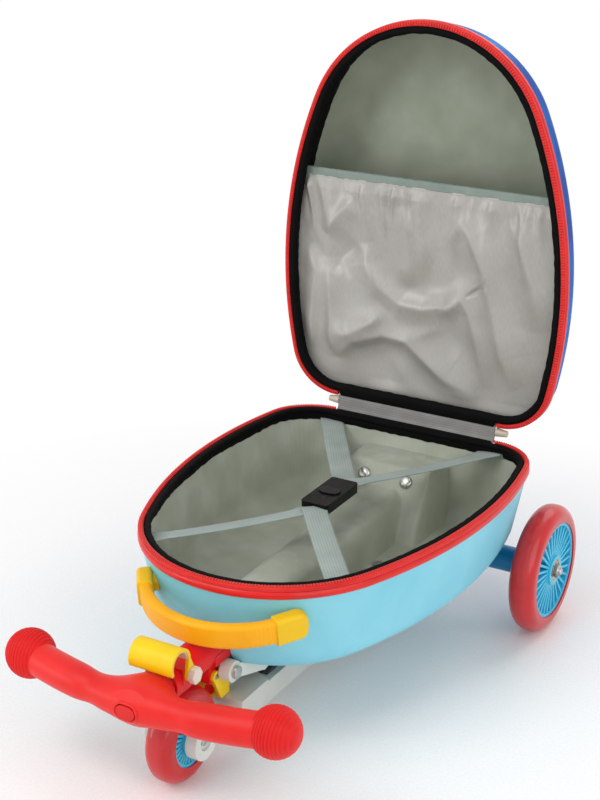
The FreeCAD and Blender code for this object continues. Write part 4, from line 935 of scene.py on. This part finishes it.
# Each leg: its start, its end's place, its layer, and its lean about its own length in degrees.
for node, start_y, end_x, end_from_end, layer, lean in (
        ("strap_back_left", BUCKLE_NEAR, -0.088, 0.005, 0, 4),
        ("strap_back_right", BUCKLE_NEAR, 0.088, 0.005, 1, -13),
        ("strap_front_left", BUCKLE_FAR, -0.084, 0.304, 0, 13),
        ("strap_front_right", BUCKLE_FAR, 0.084, 0.304, 1, -4)):
    start = Vector((0, start_y))
    along = (Vector((end_x, HINGE_END - end_from_end)) - start).normalized()
    side = Vector((-along.y, along.x))
    columns = []
    for offset in np.linspace(-STRAP_WIDTH / 2, STRAP_WIDTH / 2, STRAP_COLUMNS):
        begin = start + side * offset
        reach = STRAP_SHORTEST
        while np.min(from_rim(begin + along * reach)) > STRAP_TO_RIM:
            reach += STRAP_WALK
        wall = begin + along * reach
        inward = rim_points[np.argmin(from_rim(wall)), 2:]
        curl = STRAP_CURL * (abs(offset) / (STRAP_WIDTH / 2)) ** 3
        column = []
        for share in np.linspace(0, 1, STRAP_ROWS):
            p = begin + along * reach * share
            leant = min(1.0, share / LEAN_START_SHARE, LEAN_KEPT_SHARE + (1 - share) / LEAN_LAST_SHARE)
            twist = math.radians(lean) * leant
            sag = STRAP_SAG * math.sin(math.pi * share) ** 0.8 + curl
            sag -= STRAP_STEP * layer + offset * math.tan(twist)
            column.append(in_base(p.x, p.y, STRAP_DEPTH + sag))
        for drop in STRAP_DROPS:
            p = wall - Vector(inward) * (drop * STRAP_DROP_SHARE)
            column.append(in_base(p.x, p.y, STRAP_DEPTH + sag + drop))
        columns.append(column)
    middle = columns[STRAP_COLUMNS // 2]
    strap = cloth(node + "_webbing", list(zip(*columns)), strap_elastic, thick=STRAP_THICK, out=0.0)
    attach(strap, "case")
    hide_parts(node)

# Strap buckle: a black side-release clip with an oval push in its middle.
# Acetal, injection moulded, dull black with grey edges, partly rubbed and partly a painted highlight.
black_acetal = moulded_plastic("black_acetal", "#0A0B0A", "#070807", "#232523", 0.27, 0.8, shine=0.2)
black_push = moulded_plastic("black_acetal_push", "#111211", "#0C0D0C", "#303230", 0.25, 0.8, shine=0.25)
paint(black_acetal, "strap_buckle")
paint(black_push, "buckle_button")

# Hinge of the case: a strip of grey webbing sewn to both halves' rims between the two ends of the zip.
# Ribbed polyester webbing; the real strip bends as the lid turns, and here it is made in one bend, with the
# lid open.
# The ribs are about 1 mm and are drawn 2.4 mm wide, so that they show.
hinge_webbing = woven("grey_hinge_webbing", "#8F8D8B", "#858381", "#9A9896", 2.4, 0.7, 0.2, rib=0.5)
HINGE_THICK, HINGE_PUCKER = 0.0010, 0.0005
# The strip's bend as y and height: flat on the base's rim, free between the two heights, up the lid's rim.
HINGE_LINE = ((0.2040, 0.1602), (0.2070, 0.1602), (0.2092, 0.1602), (0.2104, 0.1607), (0.2114, 0.1622),
              (0.2120, 0.1645), (0.2122, 0.1670), (0.2124, 0.1695), (0.2130, 0.1722), (0.2135, 0.1745),
              (0.2135, 0.1770), (0.2135, 0.1792))
FREE_FROM, FREE_TO = 0.162, 0.172
hinge_rows = []
for x in np.linspace(-HINGE_HALF, HINGE_HALF, 90):
    row = []
    for y, z in HINGE_LINE:
        pucker = HINGE_PUCKER * noise.noise((x * 40, z * 60, 2.0)) * (FREE_FROM < z < FREE_TO)
        row.append((x, y + pucker, z))
    hinge_rows.append(row)
hinge = cloth("hinge_webbing", hinge_rows, hinge_webbing, thick=HINGE_THICK, out=0.0)
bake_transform(hinge)
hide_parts("hinge_strip")

# Zip sliders: two cast lumps parked at the ends of the zip beside the hinge strip.
# Tapered zinc die castings with a smooth cream finish.
cream_casting = moulded_plastic("cream_die_casting", "#C9C5B0", "#B9B49E", "#E0DDCF", 0.35, 1.0, coat=0.1)
paint(cream_casting, "zip_sliders")

# Lid shell: the upper half of the case, pressed from the same foam board under a blue skin.
# The skin is duller than the base's, in plain mottled blues.
blue_eva = foam_skin("blue_eva", [(0.3, "#08479E"), (0.45, "#1161B6"), (0.55, "#1B7BD0"), (0.68, "#339FE4")],
                     70, 0.5, 0.1)
paint(blue_eva, "lid_shell")

# Zip, binding and lining of the lid, made and sewn as those of the base.
# The lining is the same polyester drawn tight over the foam, so it lies smoother; its darker colour is
# painted shade.
zip_half("lid_zip", "lid_zip", "lid", in_lid)
# Darker than the base's lining: painted shade on the same cloth.
shaded_tight_lining = woven("grey_polyester_lining_drawn_tight_painted_shade", "#8D9483", "#878E7D", "#949A8B", 1.4, 0.58, 0.05,
                     relief=0.2)
binding("lid_binding_tape", "lid_binding", "lid", in_lid, LID_DRAFT, LID_BINDING)
lid_tub = tub_lining("lid_tub_lining", "lid_lining", "lid", in_lid, LID_DEPTH, LID_EDGE, LID_DRAFT, LID_WAVE,
                     shaded_tight_lining, LID_LINING_TOP)

# Lid pocket: a loose panel of satin gathered onto an elastic hem, sewn in under the binding on three sides.
# Filament satin with a strong sheen; it hangs in creases from the hem and slumps into folds lower down.
POCKET_FOOT, POCKET_TOP, POCKET_DEPTH = 0.0085, 0.216, 0.013
POCKET_INSET, POCKET_THICK, POCKET_SEWN = 0.0075, 0.0004, 0.0015
POCKET_COLUMNS, POCKET_ROWS = 240, 180
# Creases in mm: rise, width on the left and on the right of the line, and the line as x and height.
CREASE_RISE_SHARE, CREASE_WIDTH_SHARE = 1.3, 1.25
CREASES = (
    (8.0, 7, 16, ((-65, 157), (-61, 136), (-48, 117), (-25, 102), (-3, 100), (22, 106), (39, 118))),
    (7.6, 16, 7, ((-94, 37), (-73, 57), (-43, 67), (-17, 65), (4, 49), (25, 34), (61, 20))),
    (-3.6, 9, 9, ((-99, 121), (-89, 139), (-71, 155))),
    (7.4, 16, 7, ((29, 199), (47, 177), (61, 148), (71, 106), (82, 65), (96, 35))),
    (5.6, 13, 7, ((86, 202), (99, 173), (111, 139), (118, 97))),
    (4.6, 7, 12, ((-22, 199), (-18, 173), (-17, 142), (-18, 115))),
    (4.6, 11, 6, ((-75, 198), (-90, 183), (-107, 160))),
    (5.0, 13, 7, ((-103, 137), (-100, 102), (-98, 67), (-95, 35))),
    (3.2, 8, 7, ((-126, 147), (-118, 120), (-122, 74), (-119, 41))),
    (6.0, 12, 6, ((13, 96), (27, 105), (39, 116), (47, 102), (57, 69), (66, 31))),
    (4.4, 7, 12, ((-40, 95), (-52, 80), (-75, 66), (-96, 60))),
)
CREASE_FADE_SHARE = 0.3
# Small creases, long gathers and the short gathers at the hem, also in mm; pairs are the ends of a range.
SMALL_CREASES, SMALL_ACROSS, SMALL_UP = 9, (-115, 115), (40, 180)
SMALL_LEAN, SMALL_REACH, SMALL_RISE, SMALL_WIDTH = (0.5, 2.6), (22, 45), (0.9, 2.0), (6, 11)
GATHERS, GATHER_RISE, GATHER_WIDTH = 7, 2.8, 6.5
GATHER_PITCH = 1000 * CASE_WIDTH / (GATHERS + 2)
GATHER_SHIFT, GATHER_DRIFT, GATHER_FOOT, GATHER_FADE = (-5, 5), (-0.12, 0.12), (95, 120), 80
HEM_GATHERS, HEM_ACROSS, HEM_DRIFT = 40, (-135, 135), (-0.15, 0.15)
HEM_FALL, HEM_FADE, HEM_RISE, HEM_WIDTH = (16, 58), 26, (1.2, 2.8), (2.2, 4.0)
SLUMP, BILLOW, FINE_BILLOW, BILLOW_FADE = 9.0, 3.4, 0.7, 30
# How far in from its sewn edges the satin lies flat: at the sides, at the foot and at the hem.
FLAT_SIDE_SHARE, FLAT_FOOT, FLAT_HEM, HEM_LEFT_SHARE = 0.05, 0.012, 0.010, 0.15
rng = np.random.default_rng(7)


def satin(name, colour, dark, pale):
    """Satin: long floats of thread that shine along one way, over faint slubs."""
    material, tree, shader = start_material(name, IOR=1.5, Specular_IOR_Level=1.0, Anisotropic=0.5)
    lie = add(tree, "TexCoord").outputs
    thread = add(tree, "Tangent", direction_type="UV_MAP", uv_map="weave")
    # Slubs are 1.1 mm wide and 6.7 mm long.
    stretch = add(tree, "Mapping", {"Vector": lie["UV"], "Scale": (900.0, 150.0, 1.0)})
    slub = mottle(tree, stretch.outputs["Vector"], 1.0, 3.0)
    cloud = mottle(tree, lie["Object"], 1 / 0.04, 3.0)
    mean = combine(tree, "MULTIPLY", combine(tree, "ADD", slub, cloud), 0.5)
    tone = ramp(tree, mean, (0.35, dark), (0.5, colour), (0.65, pale))
    wire(tree, shader, tone, spread(tree, slub, 0.33, 0.41), bumps(tree, slub, 0.12, 0.0003))
    tree.links.new(thread.outputs["Tangent"], shader.inputs["Tangent"])
    return material


def near_line(x, y, line):
    """Distances of points from a bent line, negative on its right, and where along it they are nearest."""
    best, share, left = np.full(x.shape, 1e9), np.zeros(x.shape), np.zeros(x.shape)
    for k, ((ax, ay), (bx, by)) in enumerate(zip(line, line[1:])):
        t = np.clip(((x - ax) * (bx - ax) + (y - ay) * (by - ay)) / ((bx - ax) ** 2 + (by - ay) ** 2), 0, 1)
        away = np.hypot(x - ax - t * (bx - ax), y - ay - t * (by - ay))
        turn = np.sign((bx - ax) * (y - ay) - (by - ay) * (x - ax))
        share = np.where(away < best, (k + t) / (len(line) - 1), share)
        left = np.where(away < best, turn, left)
        best = np.minimum(best, away)
    return best * left, share


def half_width(from_end, inset):
    """Half the width inside the outline, brought in by inset, at a distance from the hinge end."""
    right = rim_points[rim_points[:, 0] >= 0]
    x, y = right[:, 0] + right[:, 2] * inset, right[:, 1] + right[:, 3] * inset
    order = np.argsort(y)
    return np.interp(HINGE_END - from_end, y[order], x[order])


pocket_satin = satin("grey_satin", "#A19E98", "#9A9791", "#A9A6A0")
share, up = np.meshgrid(np.linspace(-1, 1, POCKET_COLUMNS),
                        np.linspace(POCKET_FOOT, POCKET_TOP + POCKET_SEWN, POCKET_ROWS), indexing="ij")
x = share * half_width(up, POCKET_INSET)
x_mm, up_mm, under_hem = x * 1000, up * 1000, (POCKET_TOP - up) * 1000
height = np.zeros(x.shape)
for rise, left, right, line in CREASES:
    away, place = near_line(x_mm, up_mm, line)
    from_tip = np.minimum(place, 1 - place)
    fade = np.sin(np.pi / 2 * np.clip(from_tip / CREASE_FADE_SHARE, 0, 1)) ** 1.2
    width = CREASE_WIDTH_SHARE * np.where(away > 0, left, right)
    height += CREASE_RISE_SHARE * rise * fade * np.exp(-np.abs(away / width) ** 1.4)
# Small creases at chance places.
for _ in range(SMALL_CREASES):
    bx, by, lean = rng.uniform(*SMALL_ACROSS), rng.uniform(*SMALL_UP), rng.uniform(*SMALL_LEAN)
    reach = rng.uniform(*SMALL_REACH)
    line = [(bx + s * reach * math.cos(lean), by + s * reach * math.sin(lean)) for s in (-1, 0, 1)]
    away, place = near_line(x_mm, up_mm, line)
    fade = np.sin(np.pi * place) ** 1.5
    height += rng.uniform(*SMALL_RISE) * fade * np.exp(-np.abs(away / rng.uniform(*SMALL_WIDTH)) ** 1.6)
# Long gathers that fall from the hem, then the short ones that the elastic draws in.
for k in range(GATHERS):
    middle = (k - (GATHERS - 1) / 2) * GATHER_PITCH + rng.uniform(*GATHER_SHIFT)
    drift = rng.uniform(*GATHER_DRIFT) * under_hem
    fall = np.clip((up_mm - rng.uniform(*GATHER_FOOT)) / GATHER_FADE, 0, 1)
    height += GATHER_RISE * fall * np.exp(-((x_mm - middle - drift) / GATHER_WIDTH) ** 2)
for _ in range(HEM_GATHERS):
    middle = rng.uniform(*HEM_ACROSS)
    drift = rng.uniform(*HEM_DRIFT) * under_hem
    fall = np.clip((rng.uniform(*HEM_FALL) - under_hem) / HEM_FADE, 0, 1)
    rise = rng.uniform(*HEM_RISE)
    height += rise * fall * np.exp(-((x_mm - middle - drift) / rng.uniform(*HEM_WIDTH)) ** 2)
# Broad and fine billows of the loose cloth, then one smoothing of all of it.
free = np.clip(under_hem / BILLOW_FADE, 0, 1)
for i, j in np.ndindex(x.shape):
    billow = BILLOW * noise.noise((x[i, j] / 0.040, up[i, j] / 0.090, 1.3))
    billow += FINE_BILLOW * noise.noise((x[i, j] / 0.016, up[i, j] / 0.030, 4.7))
    height[i, j] += free[i, j] * billow
height[1:-1] = (height[:-2] + 2 * height[1:-1] + height[2:]) / 4
height[:, 1:-1] = (height[:, :-2] + 2 * height[:, 1:-1] + height[:, 2:]) / 4
loose = np.clip((1 - np.abs(share)) / FLAT_SIDE_SHARE, 0, 1) * np.clip((up - POCKET_FOOT) / FLAT_FOOT, 0, 1)
loose *= np.clip((POCKET_TOP - up) / FLAT_HEM, HEM_LEFT_SHARE, 1)
slump = SLUMP * (1 - share ** 2) * np.sin(np.pi * np.clip(up / POCKET_TOP, 0, 1)) ** 1.2
depth = POCKET_DEPTH + (slump - height * loose) / 1000
pocket_rows = [[in_lid(x[i, j], HINGE_END - up[i, j], depth[i, j]) for j in range(POCKET_ROWS)]
               for i in range(POCKET_COLUMNS)]
pocket = cloth("pocket_satin", pocket_rows, pocket_satin, thick=POCKET_THICK, out=0.0)
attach(pocket, "lid")
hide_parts("lid_pocket")

# Pocket hem: a tube of tape sewn over the satin's top edge with a flat elastic in it.
# Teal grey polyester tape; the elastic ruches it, and a row of stitching draws a groove along its middle.
HEM_HEIGHT, HEM_THICK, HEM_INSET, HEM_BACK = 0.0092, 0.0042, 0.0074, 0.0010
HEM_LOW_SHARE, HEM_TURNS = 0.42, 16
STITCH_UP, STITCH_DEPTH, STITCH_WIDTH = 0.0040, 0.0006, 0.0009
RUCHE_SHARE, RUCHE_DROP = 0.28, 0.0005
# Threads of about 0.5 mm are drawn 2.2 mm wide, so that they show.
hem_cloth = woven("teal_grey_hem", "#8C9A92", "#82908A", "#98A8A2", 2.2, 0.55, 0.3)
hem_rows = []
hem_half = half_width(POCKET_TOP + STITCH_UP, HEM_INSET)
for s in np.linspace(-1, 1, 260):
    ruche = noise.noise((s * 26, 3.0, 0.0))
    ring = []
    for j in range(HEM_TURNS):
        turn = 2 * math.pi * j / HEM_TURNS
        over = HEM_HEIGHT * (HEM_LOW_SHARE + 0.5 * math.sin(turn))
        groove = STITCH_DEPTH * math.exp(-((over - STITCH_UP) / STITCH_WIDTH) ** 2)
        swell = HEM_THICK / 2 * (1 + RUCHE_SHARE * ruche) * math.cos(turn)
        swell += groove if swell < 0 else -groove
        ring.append(in_lid(s * hem_half, HINGE_END - POCKET_TOP - over - RUCHE_DROP * ruche,
                           POCKET_DEPTH + HEM_BACK + swell))
    hem_rows.append(ring)
hem = make_piece("pocket_hem_elastic", capped_tube(hem_rows), material=hem_cloth, sharp=80)
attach(hem, "lid")
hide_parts("pocket_hem")

# Carry handle: a bowed soft grip at the tip of the case, held at its ends by two caps.
# Orange yellow thermoplastic rubber, satin, with fine bending ribs near its ends.
GRIP_HALF_SPAN = 0.066
GRIP_ENDS = Vector((0, HINGE_END - 0.358, 0.129))
GRIP_MIDDLE = Vector((0, HINGE_END - 0.392, 0.125))
GRIP_THICK, GRIP_TALL, GRIP_ROUND = 0.010, 0.021, 0.0035
GRIP_RIB_PITCH, GRIP_RIB_DEPTH = 0.0034, 0.0004
RIBS_FROM_CAP, RIBS_LENGTH = 0.019, 0.011
grip_bow = Bow(GRIP_HALF_SPAN, GRIP_ENDS, GRIP_MIDDLE)
orange_rubber = moulded_plastic("orange_yellow_rubber", "#FBB618", "#F6AB11", "#FCCB50", 0.45, 1.0,
                                shine=0.25)


def oblong(thick, tall, corner, count=48):
    """Points round an oblong with round corners, as (thick, tall) pairs."""
    points = []
    for j in range(count):
        turn = 2 * math.pi * (j + 0.5) / count
        c, s = math.cos(turn), math.sin(turn)
        points.append((math.copysign(thick / 2 - corner, c) + corner * c,
                       math.copysign(tall / 2 - corner, s) + corner * s))
    return points


grip_rows = []
for share in np.linspace(-1, 1, 181):
    angle = share * grip_bow.half_angle
    from_cap = (1 - abs(share)) * grip_bow.half_angle * grip_bow.radius
    ribbed = math.exp(-((from_cap - RIBS_FROM_CAP) / RIBS_LENGTH) ** 4)
    shrink = GRIP_RIB_DEPTH * ribbed * (1 - math.cos(2 * math.pi * from_cap / GRIP_RIB_PITCH))
    grip_rows.append([grip_bow.at(angle) + grip_bow.out(angle) * out + grip_bow.upright * tall
                      for out, tall in oblong(GRIP_THICK - shrink, GRIP_TALL - shrink, GRIP_ROUND)])
grip = make_piece("carry_grip", capped_tube(grip_rows), material=orange_rubber, sharp=70)
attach(grip, "case")
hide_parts("carry_handle_grip")

# Handle caps: sleeves over the grip's ends with rounded noses, riveted through the shell on round feet.
# Yellow nylon, injection moulded, satin with a fine mould grain.
CAP_LENGTH, CAP_EXTRA, CAP_CORNER, CAP_LIP = 0.020, 0.0016, 0.0040, 0.0008
# Places along a cap from the grip's end, closer together where its nose rounds off; the first is its lip.
CAP_RUNS = (-0.0084, -0.0080, -0.004, 0, 0.005, 0.009, 0.011, 0.013, 0.0145, 0.016, 0.0172, 0.0183, 0.0191,
            0.0197, CAP_LENGTH)
NOSE_TALL, NOSE_THICK = 0.0090, 0.0055
FOOT_RADIUS, FOOT_REACH, FOOT_GAP, FOOT_STEPS = 0.0085, 0.034, 0.0002, 40
FOOT_SHORTEST = 0.001
yellow_cap = moulded_plastic("yellow_nylon_cap", "#F0C414", "#E6B80F", "#F6D64E", 0.4, 0.9, shine=0.3)
shell = surface_of("base_shell")


def nose_in(run, length):
    """How far a cap's side has rounded in at a run, where its nose is an arc of that length."""
    return length - math.sqrt(length ** 2 - max(0.0, run - CAP_LENGTH + length) ** 2)


cap_parts = []
for side in (-1, 1):
    angle = side * grip_bow.half_angle
    grip_end, out, tall_way = grip_bow.at(angle), grip_bow.out(angle), grip_bow.upright
    onward = (Vector((1, 0, 0)) * math.cos(angle) - grip_bow.outward * math.sin(angle)) * side
    rows = []
    for run in CAP_RUNS:
        extra = CAP_EXTRA - (CAP_LIP if run == CAP_RUNS[0] else 0.0)
        thick = GRIP_THICK + 2 * (extra - nose_in(run, NOSE_THICK))
        tall = GRIP_TALL + 2 * (extra - nose_in(run, NOSE_TALL))
        corner = min(CAP_CORNER, thick / 2.01, tall / 2.01)
        rows.append([grip_end + onward * run + out * across + tall_way * rise
                     for across, rise in oblong(thick, tall, corner)])
    cap_parts.append(capped_tube(rows))
    foot_rows = [[], []]
    for k in range(FOOT_STEPS):
        turn = 2 * math.pi * k / FOOT_STEPS
        start = grip_end + onward * (CAP_LENGTH / 2 + FOOT_RADIUS * math.cos(turn))
        start += tall_way * FOOT_RADIUS * math.sin(turn)
        seat = shell.ray_cast(start, -out, FOOT_REACH)[0] or start - out * FOOT_SHORTEST
        foot_rows[0].append(start)
        foot_rows[1].append(seat + out * FOOT_GAP)
    cap_parts.append(capped_tube(foot_rows))
caps = make_piece("handle_caps", *cap_parts, material=yellow_cap, sharp=50)
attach(caps, "case")
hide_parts("carry_handle_caps")

# Studio: a floor of white paper that keeps the shadow under the part and turns to plain white away from it.
# A white world and four soft lamps: one before it, one to its right, one behind and one low on its left.


def background_rays(tree):
    """1 for the rays that show the background: seen straight, in a shine or through something clear."""
    seen = add(tree, "LightPath").outputs
    shine = combine(tree, "MAXIMUM", seen["Is Camera Ray"], seen["Is Glossy Ray"])
    return combine(tree, "MAXIMUM", shine, seen["Is Transmission Ray"])


bpy.ops.mesh.primitive_plane_add(size=14)
floor = bpy.context.object
floor.name = "floor"
floor_paper, tree, shader = start_material("floor_paper", Roughness=0.9)
place = add(tree, "TexCoord").outputs["Object"]
away = add(tree, "VectorMath", {0: place}, operation="LENGTH").outputs["Value"]
fade = spread(tree, away, 0.0, 1.0, start=0.28, end=0.62)
fibre = mottle(tree, place, 1 / 0.0025, 2.0)
tree.links.new(ramp(tree, fibre, (0.3, "#F8F8F8"), (0.7, "#FFFFFF")), shader.inputs["Base Color"])
eye = combine(tree, "MULTIPLY", background_rays(tree), fade)
glow = add(tree, "Emission", {"Color": (1, 1, 1, 1), "Strength": 1.0})
mixed = add(tree, "MixShader", {"Fac": eye, 1: shader.outputs["BSDF"], 2: glow.outputs["Emission"]})
tree.links.new(mixed.outputs["Shader"], tree.nodes["Material Output"].inputs["Surface"])
floor.data.materials.append(floor_paper)

world = bpy.data.worlds.new("studio")
bpy.context.scene.world = world
world.use_nodes = True
tree = world.node_tree
sky = add(tree, "Background", {"Color": (1, 1, 1, 1), "Strength": 0.55})
white = add(tree, "Background", {"Color": (1, 1, 1, 1), "Strength": 1.0})
mixed = add(tree, "MixShader", {"Fac": background_rays(tree), 1: sky.outputs["Background"],
                                2: white.outputs["Background"]})
tree.links.new(mixed.outputs["Shader"], tree.nodes["World Output"].inputs["Surface"])

LAMPS_AIM = Vector((0, 0, 0.15))
for name, where, size, power in (("key_light", (-0.6, -1.3, 1.7), 1.2, 15.5),
                                 ("fill_light", (1.7, -0.7, 1.0), 1.6, 12.5),
                                 ("back_light", (0.3, 1.5, 1.6), 1.4, 10),
                                 ("low_light", (-1.2, -1.2, 0.4), 0.6, 4.5)):
    light = bpy.data.lights.new(name, "AREA")
    light.energy, light.size = power, size
    lamp = bpy.data.objects.new(name, light)
    lamp.location = where
    lamp.rotation_euler = (LAMPS_AIM - lamp.location).to_track_quat("-Z", "Y").to_euler()
    bpy.context.scene.collection.objects.link(lamp)

# Camera: the photograph's own view, found from the wheels and the two halves of the case.
# It stands before the case on its right and looks down on it, level from side to side.
LENS_MM, SENSOR_MM = 74.18, 36
CAMERA_AT, CAMERA_DOWN, CAMERA_TURN = (0.6443, -1.1218, 0.7655), 21.45, 30.08
lens = bpy.data.cameras.new("camera")
lens.sensor_fit, lens.sensor_height, lens.lens = "VERTICAL", SENSOR_MM, LENS_MM
lens.clip_start, lens.clip_end = 0.05, 50
camera = bpy.data.objects.new("camera", lens)
camera.location = CAMERA_AT
camera.rotation_euler = (math.radians(90 - CAMERA_DOWN), 0, math.radians(CAMERA_TURN))
bpy.context.scene.collection.objects.link(camera)
bpy.context.scene.camera = camera
bpy.context.scene.view_settings.view_transform = "Standard"
